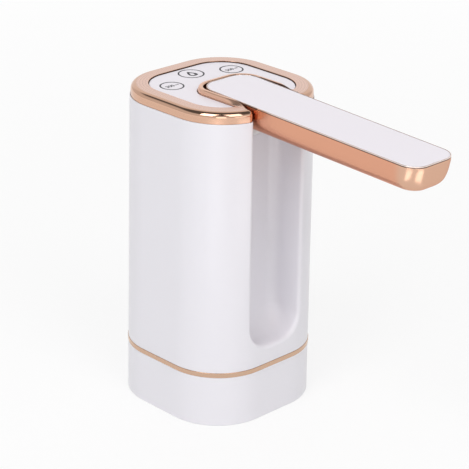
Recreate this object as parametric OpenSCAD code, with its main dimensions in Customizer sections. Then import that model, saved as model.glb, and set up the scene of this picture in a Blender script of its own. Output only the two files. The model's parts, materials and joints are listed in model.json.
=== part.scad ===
// Folding electric water jug pump. A rounded square body sits on the neck of a water bottle, and
// a spout arm folds down into a channel in the front of the body. Sizes are in millimetres, +Z is
// up, +X is the way the spout points, and the origin is the centre of the neck socket at the table.

/* [Body] */
// Width of the body across its flats, at its top edge
body_w = 70; // [68:0.5:76]
// Height of the body's top edge
body_top = 138.2; // [137:0.2:146]
// Widening of each side from the body's top edge down to the table
draft = 1; // [0:0.1:1.5]
// Radius of the upright corners, at the body's top edge
corner_r = 24.3; // [23:0.1:26]
// Thickness of the moulded walls
wall = 2; // [1.6:0.1:2.4]

/* [Base] */
// Height of the base skirt
base_h = 23.6; // [22:0.2:26]
// Height of the plated trim ring between base and body
trim_h = 1.6; // [1:0.1:3]
// Distance that the trim ring stands proud of the walls
trim_proud = 0.25; // [0:0.05:0.6]
// Outside diameter of the bottle neck that the base fits
neck_d = 55; // [50:0.5:56]
// Gap all round between the neck and the seal
neck_clear = 0.5; // [0.1:0.05:0.9]
// Depth that the neck goes into the seal
socket_depth = 18; // [14:0.5:18]
// Wall of the seal sleeve
seal_t = 2.5; // [1.5:0.1:3]
// Thickness of the seal's seat, which meets the end of the neck
seat_t = 2; // [1.2:0.1:3]
// Width of the seal's seat
seat_w = 6; // [3:0.5:8]
// Height of the rim by which the base plugs into the body
plug_h = 4; // [2:0.5:5]
// Thickness of the base's plug rim
plug_t = 1.6; // [1.2:0.1:2]
// Thickness of the deck that closes the body underneath
deck_t = 2.5; // [2:0.1:4]
// Height of the deck's underside
deck_z = 36; // [34:0.5:38]

/* [Arm channel] */
// Width of the channel in the front of the body
channel_w = 29; // [28.6:0.1:31]
// Depth of the channel, from the front of the body
channel_depth = 16.5; // [15:0.1:17]
// Height of the bottom of the channel
channel_bottom = 33.6; // [30:0.2:34]
// Radius of the channel's lower corners
channel_r = 11; // [4:0.5:13]
// Width of the bevel along the channel's mouth
mouth_bevel = 1.6; // [0.4:0.1:2]
// Wall of the channel
channel_wall = 1.6; // [1.2:0.1:2]
// Height at which the hinge frame takes over the channel's sides
channel_top = 124; // [122:0.2:126]

/* [Top] */
// Height of the plated top ring
ring_h = 4.9; // [4:0.1:6]
// Distance that the ring stands in from the body's sides
ring_inset = 0.4; // [0:0.1:1]
// Width of the ring, from its side to the touch panel
ring_w = 7.6; // [6:0.1:8.4]
// Radius along the ring's upper outer edge
ring_round = 1.8; // [0.6:0.1:2.4]
// Depth of the touch panel below the ring's top
panel_recess = 0.8; // [0.3:0.1:1.5]
// Thickness of the touch panel
panel_t = 2.5; // [1.5:0.1:2.8]
// Width of the pocket round the arm's rear end
pocket_w = 28.8; // [28.2:0.1:30]
// Gap between the pocket's rear wall and the arm's rear end
pocket_gap = 0.3; // [0.2:0.1:1.5]
// Radius of the pocket's rear corners
pocket_r = 8.1; // [5:0.1:9]
// Width of the plated rim round the pocket
rim_w = 2.4; // [1.6:0.1:3]
// Thickness of the hinge frame's plate
frame_t = 3; // [2.4:0.1:4]
// Wall of the hinge frame's tub
tub_t = 1.6; // [1.2:0.1:2]

/* [Arm] */
// Distance of the hinge axis behind the front of the body
pivot_in = 12.5; // [11.6:0.1:13]
// Depth of the hinge axis below the body's top edge
pivot_drop = 6.2; // [5.6:0.1:6.6]
// Angle by which the raised arm slopes down to its tip
droop = 1.95; // [1:0.05:2.2]
// Distance from the hinge axis up to the arm's top
arm_rise = 12.4; // [12:0.1:13]
// Depth of the arm
arm_depth = 13; // [12:0.1:13.2]
// Distance from the hinge axis to the arm's front end
arm_front = 96.6; // [80:0.5:97]
// Distance from the hinge axis to the arm's rear end
arm_rear = 24.8; // [22:0.1:25]
// Width of the arm at the hinge axis
arm_root_w = 27.2; // [25:0.1:27.8]
// Width of the arm at its front end
arm_tip_w = 25.4; // [23:0.1:27]
// Plan radius of the arm's rear corners
rear_r = 8.4; // [6:0.1:10]
// Plan radius of the arm's front corners
tip_r = 5.5; // [3:0.1:7]
// Radius along the arm's lower edges
edge_r = 6; // [3:0.1:6.5]
// Distance that the underside of the tip stands back from the front end
bow_back = 8.5; // [4:0.1:12]
// Wall of the arm's trough
arm_wall = 1.8; // [1.4:0.1:2.2]
// Thickness of the arm's cover
cover_t = 1.8; // [1.2:0.1:2.2]
// Lip of the trough beside the cover
cover_lip = 0.3; // [0.2:0.05:0.8]
// Lip of the trough in front of the cover
front_lip = 1.1; // [0.4:0.1:2]

/* [Hinge] */
// Radius of the hinge pins
pin_r = 3; // [2.6:0.1:3.2]
// Gap round the pins in the arm's knuckle
run_clear = 0.05; // [0.02:0.01:0.09]
// Radius of the arm's knuckle
knuckle_r = 5; // [4.6:0.1:5.2]
// Gap between the knuckle and each cheek of the hinge frame
knuckle_side = 1.3; // [1:0.1:1.8]
// Depth that each pin goes into the knuckle
pin_grip = 7; // [5:0.1:8]
// Thickness of the hinge frame's cheeks
cheek_t = 3; // [2.4:0.1:3.4]
// Thickness of the sealing rings on the water swivel
o_ring_d = 0.82; // [0.6:0.02:1]

/* [Water path] */
// Radius of the spigot that takes the suction hose
spigot_r = 4; // [3:0.1:4.5]
// Free length of the suction spigot below the deck
spigot_l = 15; // [10:0.5:15.5]
// Outer radius of the hoses
hose_r = 3.8; // [3.4:0.1:3.8]
// Inner radius of the hoses
hose_bore = 2.5; // [2.2:0.1:2.8]
// Radius of the water ways through the fittings
water_r = 1.6; // [1:0.1:1.8]
// Length of each hose barb
barb_l = 4; // [3:0.1:5]
// Bend radius of the outlet hose, along its middle
bend_r = 9; // [7:0.5:10]
// Outer radius of the tube in the arm
tube_r = 3.5; // [3:0.1:3.6]
// Height of the arm's tube above the hinge axis
tube_rise = 5.2; // [4.9:0.1:6]
// Distance of the outlet nozzle behind the arm's front end
nozzle_back = 20; // [19.8:0.2:30]
// Inner radius of the outlet nozzle
nozzle_bore = 3; // [2:0.1:3.2]
// Wall of the outlet nozzle
nozzle_wall = 1; // [0.8:0.1:1.4]
// Distance that the nozzle stands out of the arm's underside
nozzle_proud = 0.8; // [0.4:0.1:3]

/* [Pump and motor] */
// Radius of the pump head
head_r = 13.5; // [13:0.1:14]
// Height of the pump head
head_h = 11.5; // [11:0.1:13]
// Height of the rubber mount under the pump head
mount_h = 9.5; // [9:0.1:12]
// Wall of the rubber mount
mount_t = 2; // [1.4:0.1:2.4]
// Space kept between the pump and the channel
pump_gap = 5; // [4.5:0.1:6]
// Thickness of the valve plate
valve_t = 2.5; // [2:0.1:3.5]
// Thickness of the diaphragm's flange
diaphragm_t = 1.5; // [1:0.1:2]
// Height of the crank housing
crank_h = 17.5; // [17:0.1:20]
// Inner radius of the crank housing
crank_bore = 10.6; // [10.2:0.1:10.8]
// Radius of the motor
motor_r = 12.2; // [11.5:0.1:13]
// Length of the motor
motor_l = 31; // [28:0.5:34]
// Wall of the motor's can
can_t = 1; // [0.6:0.1:1.2]
// Radius of the motor's shaft
shaft_r = 1; // [0.8:0.05:1.2]
// Radius of the rotor
rotor_r = 9; // [8:0.1:9.2]

/* [Battery and boards] */
// Radius of the battery cell
cell_r = 9.2; // [8.8:0.1:9.3]
// Length of the battery cell
cell_l = 65; // [50:0.5:70]
// Wall of the battery cradle
cradle_t = 1.5; // [1:0.1:1.7]
// Thickness of the circuit boards
board_t = 1.6; // [1:0.1:1.6]
// Width of the main board
board_w = 40; // [36:0.5:40]
// Height of the main board
board_h = 56; // [50:0.5:60]
// Height of the main board's lower edge
board_z = 48; // [47:0.5:52]
// Length of the posts that hold the main board off the back wall
post_l = 5; // [4.4:0.1:6]
// Height of the charging socket
usb_z = 60; // [56:0.5:80]

/* [Fasteners] */
// Shank radius of the deck's screws
deck_screw_r = 1.5; // [1.2:0.05:1.6]
// Shank radius of the small screws
small_screw_r = 1; // [0.8:0.05:1.1]

/* [Hidden] */

WHITE = "#f1eef1";
GOLD = "#dca283";
SILICONE = "#e6e6e2";
STEEL = "#b9bcc0";
BLACK = "#2b2b2e";
GREEN = "#2f6b4a";

// Facets on large rounded forms, and on the children of hulls
round_fn = 48;
hull_fn = 32;
$fn = 64;
// Overshoot of a cut past the face it opens
cut = 1;
// Gap between fixed pieces that fit together, and between pieces that only lie side by side
fit_gap = 0.05;
side_gap = 0.3;
part_gap = 0.7;

// Levels and half widths of the body
half_w = body_w / 2;
corner_c = half_w - corner_r;
body_low = base_h + trim_h;
deck_top = deck_z + deck_t;
body_in = half_w - wall;
ring_top = body_top + ring_h;
frame_low = body_top - frame_t;
function flare(z) = draft * (body_top - z) / body_top;
function side_at(z) = half_w + flare(z);

// Neck socket
bore_r = neck_d / 2 + neck_clear;
seal_r = bore_r + seal_t;
mouth_r = bore_r - seat_w;

// Screws from below the deck into the three corners that the pump leaves free
boss_r = 3;
boss_h = 5;
corner_screw = corner_c + (corner_r - wall - boss_r - side_gap) / sqrt(2);
DECK_SCREWS = [[1, 1], [1, -1], [-1, 1]] * corner_screw;
deck_head_w = 0.8;
deck_head_h = 1.8;
base_floor = wall;
plug_top = body_low + plug_h;

// Arm channel and pocket
channel_x = half_w - channel_depth;
pivot_x = half_w - pivot_in;
pivot_z = body_top - pivot_drop;
pocket_x = pivot_x - arm_rear - pocket_gap;
pocket_half = pocket_w / 2;
panel_half = half_w - ring_inset - ring_w;
panel_r = corner_r - ring_inset - ring_w;
panel_top = ring_top - panel_recess;
panel_low = panel_top - panel_t;
horn_r = 1.2;

// Hinge frame and its screws
cheek_y = channel_w / 2;
cheek_r = pin_r + 1.4;
knuckle_half = cheek_y - knuckle_side;
knuckle_room = 0.7;
pocket_floor = pivot_z - 1;
tub_low = pocket_floor - tub_t;
frame_back = channel_x - channel_wall - tub_t;
small_head_r = small_screw_r + 0.9;
small_head_h = 1.4;
screw_land = 0.3;
// Space past the point of a screw
tip_gap = 2;
frame_screw_l = 12;
frame_boss_r = 3.2;
rear_screw = corner_c + (corner_r - wall - side_gap - small_head_r - screw_land) / sqrt(2);
side_screw = body_in - small_head_r - side_gap - screw_land;
FRAME_SCREWS = [[-rear_screw, rear_screw], [-rear_screw, -rear_screw], [0, side_screw],
    [0, -side_screw]];

// Arm sizes, in the arm's own frame: the hinge axis is the origin, and +X runs to the tip
side_flat = 6;
tip_flat = 2;
arm_low = arm_rise - arm_depth;
arm_slope = (arm_root_w - arm_tip_w) / 2 / arm_front;
function arm_half(x) = arm_root_w / 2 - arm_slope * x;
cover_gap = 0.1;
cover_z = arm_rise - cover_t;
tube_bore = tube_r - 1.3;
nozzle_x = arm_front - nozzle_back;
nozzle_r = nozzle_bore + nozzle_wall;
nozzle_flange = 1.2;
nozzle_top = tube_rise + nozzle_bore;
tube_end = nozzle_x - nozzle_r - nozzle_flange;
manifold = 6;
knuckle_pin_end = knuckle_half - pin_grip;

// Pump, stacked upwards on the lower deck
barb_r = hose_bore - fit_gap;
mount_r = head_r + mount_t;
mount_lip = 3;
pump_x = channel_x - channel_wall - pump_gap - mount_r;
pump_y = part_gap + mount_r - body_in;
head_z = deck_top + mount_h;
barb_up = 8;
barb_z = head_z + barb_up;
valve_z = head_z + head_h;
diaphragm_z = valve_z + valve_t;
crank_z = diaphragm_z + diaphragm_t;
motor_z = crank_z + crank_h;
motor_top = motor_z + motor_l;
crank_lid = 2;
cup_pitch = 6;
cup_r = 3.6;
cup_h = 3.5;
cup_wall = 0.8;
stem_r = 1.2;
stem_h = 8;
plate_up = 5.5;
plate_z = crank_z + plate_up;
plate_t = 2;
plate_r = 9;
hub_h = 4.5;
crank_r = 5.5;
hub_clear = 0.8;
lid_clear = 0.4;
crank_hub_z = plate_z + hub_h + hub_clear;
crank_hub_h = motor_z - crank_lid - lid_clear - crank_hub_z;
pin_throw_low = 1.2;
pin_throw_high = 2.2;
crank_pin_r = 0.8;
hub_bore = pin_throw_high + crank_pin_r + side_gap;
hub_r = hub_bore + 1;
screw_count = 3;
screw_angle = 30;
function turn(i) = screw_angle + 360 * i / screw_count;
pump_screw_r = 0.9;
pump_head_r = 1.5 * pump_screw_r;
pump_screw_pitch = crank_bore + pump_screw_r + side_gap;
pump_screw_l = 24;
bush_r = 3;
bush_l = 3;
motor_cap_t = 2.5;
magnet_t = 1.5;
magnet_gap = 25;
// Clear length between the pieces inside the motor, and depth of the cap's spigot
motor_space = 1;
slot_w = 2;

// Hose fittings
elbow_r = 2.6;
flange_t = 1.2;
elbow_y = cheek_y + cheek_t + flange_t + elbow_r;
flange_w = 1.5;
elbow_drop = 6;
swivel_low = pivot_z - elbow_drop - 2.5 * barb_l;
hose_gap = 1;
inlet_y = pump_y + head_r;
spigot_y = inlet_y + 2 * barb_l + hose_gap + elbow_r;
spigot_x = pump_x - cup_pitch;
spigot_low = deck_z - spigot_l;
outlet_y = -elbow_y;
outlet_l = pivot_x - bend_r - pump_x;

// Battery against the channel and the far wall, and the main board on the back wall
battery_x = channel_x - channel_wall - part_gap - cradle_t - cell_r;
battery_y = body_in - part_gap - cradle_t - cell_r;
cell_z = deck_top + cradle_t;
cell_tip = 1;
board_x = post_l + wall - side_at(board_z);
post_r = 2.4;
post_in = 6;
USB = [9, 3.3];
usb_wall = 0.35;
usb_recess = 0.6;
usb_tongue = USB.x - 2.4 * USB.y;

// Body of the outside form between two heights, grown or shrunk on every side
module block(z0, z1, grow = 0) {
    hull()
        for (sx = [-1, 1], sy = [-1, 1])
            translate([sx * corner_c, sy * corner_c, z0])
                cylinder(h = z1 - z0, r1 = corner_r + flare(z0) + grow,
                    r2 = corner_r + flare(z1) + grow, $fn = round_fn);
}

// Square with round corners, about the origin
module round_square(half, r) {
    offset(r = r, $fn = round_fn) square(2 * (half - r), center = true);
}

// Outline with a round rear end, open to the front: the pocket and its rim
module pocket_outline(grow = 0) {
    translate([pocket_x + pocket_r, -(pocket_half - pocket_r)])
        offset(r = pocket_r + grow, $fn = round_fn)
            square([body_w, 2 * (pocket_half - pocket_r)]);
}

// Front view of the arm channel, run along +X from a place for a length
module channel_slice(x, l, grow = 0) {
    translate([x, 0, 0]) rotate([90, 0, 90]) linear_extrude(l)
        translate([channel_r - channel_w / 2, channel_bottom + channel_r])
            offset(r = channel_r + grow, $fn = round_fn)
                square([channel_w - 2 * channel_r, body_top]);
}

// The arm channel from a depth out through the front of the body
module channel_form(x, grow = 0) {
    channel_slice(x, half_w + draft + cut - x, grow);
}

// Bevel along the channel's mouth
module channel_mouth() {
    hull() {
        channel_slice(half_w - mouth_bevel, fit_gap);
        channel_slice(half_w + draft, fit_gap, mouth_bevel + draft);
    }
}

// Cylinder along Y between two places
module along_y(y0, y1, r) {
    translate([0, y0, 0]) rotate([-90, 0, 0]) cylinder(h = y1 - y0, r = r);
}

// Its children as they are for 1, and mirrored across the middle plane for -1
module mirrored(s) {
    mirror([0, s > 0 ? 0 : 1, 0]) children();
}

// Cylinder along X between two places
module along_x(x0, x1, r) {
    translate([x0, 0, 0]) rotate([0, 90, 0]) cylinder(h = x1 - x0, r = r);
}

module at_deck_screws(z) {
    for (p = DECK_SCREWS) translate([p.x, p.y, z]) children();
}

// Countersunk-style screw that stands with its head's underside at the origin, shank up
module screw(r, l, head_r, head_h) {
    cylinder(h = l, r = r);
    translate([0, 0, -head_h]) cylinder(h = head_h, r = head_r);
}

module on_hinge() {
    translate([pivot_x, 0, pivot_z]) children();
}

module on_arm() {
    on_hinge() rotate([0, droop, 0]) children();
}

module on_pump(z) {
    translate([pump_x, pump_y, z]) children();
}

module on_board() {
    for (sy = [-1, 1], z = [board_z + post_in, board_z + board_h - post_in])
        translate([board_x, sy * (board_w / 2 - post_in), z]) children();
}

// Body and base

module body_shell() color(WHITE)
    difference() {
        union() {
            difference() {
                block(body_low, body_top);
                block(body_low - cut, body_top + cut, -wall);
            }
            intersection() {
                block(body_low, body_top, -wall / 2);
                union() {
                    intersection() {
                        channel_form(channel_x - channel_wall, channel_wall);
                        translate([-body_w, -body_w, 0]) cube([2 * body_w, 2 * body_w, channel_top]);
                    }
                    at_deck_screws(deck_top) cylinder(h = boss_h, r = boss_r + wall);
                    for (p = FRAME_SCREWS) translate([p.x, p.y, frame_low - frame_screw_l])
                        cylinder(h = frame_screw_l, r = frame_boss_r);
                    on_board() rotate([0, -90, 0]) cylinder(h = post_l + wall, r = post_r);
                }
            }
        }
        channel_form(channel_x);
        channel_mouth();
        at_deck_screws(deck_top - cut) cylinder(h = boss_h, r = deck_screw_r + fit_gap);
        for (p = FRAME_SCREWS) translate([p.x, p.y, frame_low - frame_screw_l + cut])
            cylinder(h = frame_screw_l, r = small_screw_r + fit_gap);
        on_board() rotate([0, -90, 0]) translate([0, 0, -cut])
            cylinder(h = post_l + cut, r = small_screw_r + fit_gap);
        translate([-side_at(usb_z) - cut, 0, usb_z]) usb_form(side_gap, wall + 2 * cut);
    }

module base_skirt() color(WHITE)
    difference() {
        union() {
            block(0, base_h);
            block(base_h, plug_top, -wall - fit_gap);
        }
        translate([0, 0, -cut]) cylinder(h = socket_depth + seat_t + cut, r = seal_r);
        cylinder(h = plug_top, r = mouth_r);
        difference() {
            block(base_floor, plug_top + cut, -wall - fit_gap - plug_t);
            cylinder(h = base_h, r = seal_r + wall);
        }
    }

module trim_ring() color(GOLD)
    difference() {
        block(base_h, body_low, trim_proud);
        block(base_h - cut, body_low + cut, -wall);
    }

module neck_seal() color(SILICONE)
    difference() {
        cylinder(h = socket_depth + seat_t, r = seal_r - fit_gap);
        translate([0, 0, -cut]) cylinder(h = socket_depth + cut, r = bore_r);
        cylinder(h = socket_depth + seat_t + cut, r = mouth_r);
    }

module lower_deck() color(WHITE)
    difference() {
        block(deck_z, deck_top, -wall - side_gap);
        at_deck_screws(deck_z - cut) cylinder(h = deck_t + 2 * cut, r = deck_screw_r + fit_gap);
        channel_form(channel_x - channel_wall - side_gap, channel_wall + side_gap);
        translate([spigot_x, spigot_y, deck_z - cut]) cylinder(h = deck_t + 2 * cut, r = spigot_r + fit_gap);
    }

module deck_screws() color(STEEL)
    at_deck_screws(deck_z)
        screw(deck_screw_r, deck_t + boss_h - tip_gap, deck_screw_r + deck_head_w, deck_head_h);

// Top ring, touch panel and hinge frame

module panel_outline(grow = 0) {
    offset(r = horn_r + grow, $fn = hull_fn) offset(delta = -horn_r)
        difference() {
            round_square(panel_half, panel_r);
            pocket_outline(rim_w);
        }
}

module top_ring() color(GOLD)
    difference() {
        hull()
            for (a = [0 : 22.5 : 90], sx = [-1, 1], sy = [-1, 1])
                translate([sx * corner_c, sy * corner_c, body_top])
                    cylinder(h = ring_h - ring_round * (1 - sin(a)),
                        r = corner_r - ring_inset - ring_round * (1 - cos(a)), $fn = round_fn);
        translate([0, 0, body_top - cut]) linear_extrude(ring_h + 2 * cut) panel_outline();
        translate([0, 0, body_top - cut]) linear_extrude(ring_h + 2 * cut) pocket_outline();
    }

module touch_panel() color(WHITE)
    translate([0, 0, panel_low]) linear_extrude(panel_t) panel_outline(-2 * fit_gap);

module touch_board() color(GREEN)
    translate([0, 0, body_top]) linear_extrude(panel_low - body_top) panel_outline(-side_gap);

// Plate, tub and cheeks of the hinge frame, before the pocket and the bores are cut
module frame_form() {
    translate([-body_w, -body_w, frame_low]) cube([2 * body_w, 2 * body_w, frame_t]);
    intersection() {
        translate([0, 0, tub_low]) linear_extrude(body_top - tub_low) pocket_outline(tub_t);
        translate([-body_w, -body_w, 0]) cube([body_w + pivot_x - knuckle_r, 2 * body_w, body_top]);
    }
    for (s = [-1, 1]) mirrored(s) {
        on_hinge() along_y(cheek_y, cheek_y + cheek_t, cheek_r);
        translate([pivot_x - cheek_r, cheek_y, pivot_z]) cube([2 * cheek_r, cheek_t, pivot_drop]);
        translate([frame_back, cheek_y, channel_top]) cube([body_w, channel_wall, body_top - channel_top]);
    }
    translate([frame_back, -cheek_y - channel_wall, channel_top])
        cube([tub_t, channel_w + 2 * channel_wall, body_top - channel_top]);
}

module hinge_frame() color(WHITE)
    difference() {
        intersection() {
            block(channel_top, body_top, -wall - side_gap);
            frame_form();
        }
        translate([0, 0, pocket_floor]) linear_extrude(body_top - pocket_floor + cut) pocket_outline();
        translate([channel_x - channel_wall, -cheek_y, channel_top - cut])
            cube([body_w, 2 * cheek_y, body_top - channel_top + 2 * cut]);
        on_hinge() {
            along_y(-cheek_y, cheek_y, knuckle_r + knuckle_room);
            along_y(-cheek_y - cheek_t - cut, cheek_y + cheek_t + cut, pin_r + fit_gap);
            for (s = [-1, 1]) mirrored(s)
                along_y(cheek_y + cheek_t, elbow_y + elbow_r + side_gap, cheek_r + side_gap);
        }
        for (p = FRAME_SCREWS) translate([p.x, p.y, 0]) {
            cylinder(h = body_top + cut, r = small_screw_r + fit_gap);
            translate([0, 0, body_top - small_head_h])
                cylinder(h = small_head_h + cut, r = small_head_r + fit_gap);
        }
    }

module frame_screws() color(STEEL)
    for (p = FRAME_SCREWS) translate([p.x, p.y, body_top - small_head_h]) mirror([0, 0, 1])
        screw(small_screw_r, frame_t + frame_screw_l - small_head_h - tip_gap, small_head_r, small_head_h);

// Spout arm

// Solid form of the trough, shrunk on every side by inset
module arm_form(inset, top) {
    rear_x = rear_r - arm_rear;
    bow_x = arm_front - bow_back - edge_r;
    hull()
        for (s = [-1, 1]) {
            translate([rear_x, s * (arm_half(rear_x) - rear_r), arm_rise - side_flat])
                cylinder(h = side_flat + top, r = rear_r - inset, $fn = hull_fn);
            translate([rear_x, s * (arm_half(rear_x) - edge_r), arm_low + edge_r])
                sphere(r = edge_r - inset, $fn = hull_fn);
            translate([bow_x, s * (arm_half(arm_front) - edge_r), arm_low + edge_r])
                sphere(r = edge_r - inset, $fn = hull_fn);
            translate([bow_x, s * (arm_half(arm_front) - edge_r), arm_rise - side_flat])
                cylinder(h = side_flat + top, r = edge_r - inset, $fn = hull_fn);
            translate([arm_front - tip_r, s * (arm_half(arm_front) - tip_r), arm_rise - tip_flat + inset])
                cylinder(h = tip_flat + top - inset, r = tip_r - inset, $fn = hull_fn);
        }
}

// Plan of the arm's cover, shrunk on every side by inset
module cover_form(z, h, inset) {
    hull()
        for (s = [-1, 1]) {
            translate([rear_r - arm_rear, s * (arm_half(rear_r - arm_rear) - rear_r), z])
                cylinder(h = h, r = rear_r - inset, $fn = round_fn);
            translate([arm_front - tip_r - front_lip + cover_lip, s * (arm_half(arm_front) - tip_r), z])
                cylinder(h = h, r = tip_r - inset, $fn = round_fn);
        }
}

module arm_trough() color(GOLD)
    on_arm() difference() {
        union() {
            difference() {
                arm_form(0, 0);
                arm_form(arm_wall, cut);
                cover_form(cover_z, cover_t + cut, cover_lip);
            }
            along_y(-knuckle_half, knuckle_half, knuckle_r);
            translate([-manifold, -manifold, arm_low])
                cube([2 * manifold, 2 * manifold, tube_rise + manifold / 2]);
            translate([0, 0, tube_rise]) along_x(0, manifold + barb_l, tube_bore - fit_gap);
        }
        for (s = [-1, 1]) mirrored(s) along_y(knuckle_pin_end, knuckle_half + cut, pin_r + run_clear);
        along_y(-knuckle_half, 0, water_r);
        cylinder(h = tube_rise, r = water_r);
        translate([0, 0, tube_rise]) along_x(0, manifold + barb_l + cut, water_r);
        translate([nozzle_x, 0, arm_low - cut]) cylinder(h = arm_wall + 2 * cut, r = nozzle_r + fit_gap);
    }

module arm_cover() color(WHITE)
    on_arm() cover_form(cover_z, cover_t, cover_lip + cover_gap);

module arm_tube() color(SILICONE)
    on_arm() translate([0, 0, tube_rise]) difference() {
        along_x(manifold, tube_end, tube_r);
        along_x(manifold - cut, nozzle_x, tube_bore);
    }

module outlet_nozzle() color(STEEL)
    on_arm() difference() {
        union() {
            translate([nozzle_x, 0, arm_low - nozzle_proud])
                cylinder(h = nozzle_top - arm_low + nozzle_proud, r = nozzle_r);
            translate([nozzle_x, 0, arm_low + arm_wall + fit_gap])
                cylinder(h = nozzle_flange, r = nozzle_r + nozzle_flange);
            translate([0, 0, tube_rise])
                along_x(tube_end - barb_l, nozzle_x, tube_bore - fit_gap);
        }
        translate([nozzle_x, 0, arm_low - nozzle_proud - cut])
            cylinder(h = nozzle_top - nozzle_wall - arm_low + nozzle_proud + cut, r = nozzle_bore);
        translate([0, 0, tube_rise]) along_x(tube_end - barb_l - cut, nozzle_x, water_r);
    }

// Hinge pieces

module hinge_pin() color(STEEL)
    on_hinge() {
        along_y(knuckle_pin_end + side_gap, cheek_y + cheek_t, pin_r);
        along_y(cheek_y + cheek_t, cheek_y + cheek_t + flange_t, cheek_r);
    }

module swivel_grooves() {
    for (i = [1, 2]) translate([0, -knuckle_pin_end - i * pin_grip / 3, 0]) rotate([90, 0, 0]) children();
}

module water_swivel() color(STEEL)
    on_hinge() difference() {
        union() {
            along_y(-elbow_y, -knuckle_pin_end - side_gap, pin_r);
            along_y(-cheek_y - cheek_t - flange_t, -cheek_y - cheek_t, cheek_r);
            translate([0, -elbow_y, -elbow_drop]) cylinder(h = elbow_drop + elbow_r, r = elbow_r);
            translate([0, -elbow_y, swivel_low - pivot_z]) cylinder(h = pivot_z - swivel_low, r = barb_r);
        }
        along_y(-elbow_y, cut, water_r);
        translate([0, -elbow_y, swivel_low - pivot_z - cut])
            cylinder(h = pivot_z - swivel_low + cut, r = water_r);
        swivel_grooves() difference() {
            cylinder(h = o_ring_d + 2 * fit_gap, r = pin_r + cut, center = true);
            cylinder(h = o_ring_d + cut, r = pin_r - o_ring_d + fit_gap / 2, center = true);
        }
    }

module swivel_seals() color(BLACK)
    on_hinge() swivel_grooves()
        rotate_extrude() translate([pin_r - o_ring_d / 2 + fit_gap / 2, 0]) circle(d = o_ring_d - fit_gap);

module hinge_washers() color(BLACK)
    on_hinge() for (s = [-1, 1]) mirrored(s)
        difference() {
            along_y(knuckle_half + side_gap, cheek_y, cheek_r);
            along_y(0, cheek_y + cut, pin_r + fit_gap);
        }

// Water path in the body

module suction_elbow() color(WHITE)
    translate([spigot_x, spigot_y, 0]) difference() {
        union() {
            translate([0, 0, spigot_low]) cylinder(h = deck_top - spigot_low, r = spigot_r);
            translate([0, 0, deck_z - flange_t]) cylinder(h = flange_t, r = spigot_r + flange_w);
            translate([0, 0, deck_top]) cylinder(h = barb_z + elbow_r - deck_top, r = elbow_r);
            translate([0, 0, barb_z]) along_y(-elbow_r - barb_l, 0, barb_r);
        }
        translate([0, 0, spigot_low - cut]) cylinder(h = barb_z - spigot_low + cut, r = water_r);
        translate([0, 0, barb_z]) along_y(-elbow_r - barb_l - cut, 0, water_r);
    }

module inlet_hose() color(SILICONE)
    translate([spigot_x, 0, barb_z]) difference() {
        along_y(inlet_y, spigot_y - elbow_r, hose_r);
        along_y(inlet_y - cut, spigot_y, hose_bore);
    }

// Outlet hose of one radius: out of the pump head, round a bend and up to the swivel
module outlet_run(r, over) {
    translate([0, outlet_y, barb_z]) along_x(pump_x + head_r - over, pivot_x - bend_r, r);
    translate([pivot_x - bend_r, outlet_y, barb_z + bend_r]) rotate([90, 0, 0]) rotate([0, 0, -90])
        rotate_extrude(angle = 90) translate([bend_r, 0]) circle(r = r);
    translate([pivot_x, outlet_y, barb_z + bend_r])
        cylinder(h = pivot_z - elbow_drop - barb_z - bend_r + over, r = r);
}

module outlet_hose() color(SILICONE)
    difference() {
        outlet_run(hose_r, 0);
        outlet_run(hose_bore, cut);
    }

// Pump and motor

module pump_mount() color(BLACK)
    on_pump(deck_top) difference() {
        cylinder(h = mount_h + mount_lip, r = mount_r);
        translate([0, 0, mount_h]) cylinder(h = mount_lip + cut, r = head_r + fit_gap);
        translate([0, 0, -cut]) cylinder(h = mount_h + 2 * cut, r = head_r - 2 * mount_t);
    }

module pump_screw_ring() {
    for (i = [1 : screw_count]) rotate(turn(i)) translate([pump_screw_pitch, 0, 0]) children();
}

module cup_ring() {
    for (i = [1 : screw_count]) rotate(turn(i + 0.5)) translate([cup_pitch, 0, 0]) children();
}

module pump_head() color(BLACK)
    on_pump(head_z) difference() {
        union() {
            cylinder(h = head_h, r = head_r);
            translate([-cup_pitch, 0, barb_z - head_z]) along_y(0, head_r + barb_l, barb_r);
            translate([0, outlet_y - pump_y, barb_z - head_z]) along_x(0, outlet_l, barb_r);
        }
        translate([-cup_pitch, 0, barb_z - head_z]) along_y(0, head_r + barb_l + cut, water_r);
        translate([-cup_pitch, 0, barb_z - head_z]) cylinder(h = head_h, r = water_r);
        translate([0, outlet_y - pump_y, barb_z - head_z]) along_x(cup_pitch / 2, outlet_l + cut, water_r);
        translate([cup_pitch / 2, outlet_y - pump_y, barb_z - head_z]) cylinder(h = head_h, r = water_r);
        pump_screw_ring() {
            translate([0, 0, -cut]) cylinder(h = small_head_h + cut, r = pump_head_r + fit_gap);
            cylinder(h = head_h + cut, r = pump_screw_r + fit_gap);
        }
    }

module check_valves() color(SILICONE)
    on_pump(diaphragm_z - valve_t / 2) cup_ring() cylinder(h = valve_t / 4, r = cup_r - cup_wall);

module valve_plate() color(WHITE)
    on_pump(valve_z) difference() {
        cylinder(h = valve_t, r = head_r);
        cup_ring() translate([0, 0, valve_t / 2]) cylinder(h = valve_t, r = cup_r - cup_wall + fit_gap);
        cup_ring() translate([0, 0, -cut]) cylinder(h = valve_t, r = stem_r);
        pump_screw_ring() translate([0, 0, -cut]) cylinder(h = valve_t + 2 * cut, r = pump_screw_r + fit_gap);
    }

module diaphragm() color(SILICONE)
    on_pump(diaphragm_z) difference() {
        union() {
            cylinder(h = diaphragm_t, r = head_r);
            cup_ring() cylinder(h = diaphragm_t + cup_h, r = cup_r);
            cup_ring() cylinder(h = stem_h, r = stem_r);
        }
        translate([0, 0, -cut]) {
            cup_ring() cylinder(h = diaphragm_t + cup_h - cup_wall + cut, r = cup_r - cup_wall);
            pump_screw_ring() cylinder(h = diaphragm_t + 2 * cut, r = pump_screw_r + fit_gap);
        }
    }

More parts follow.
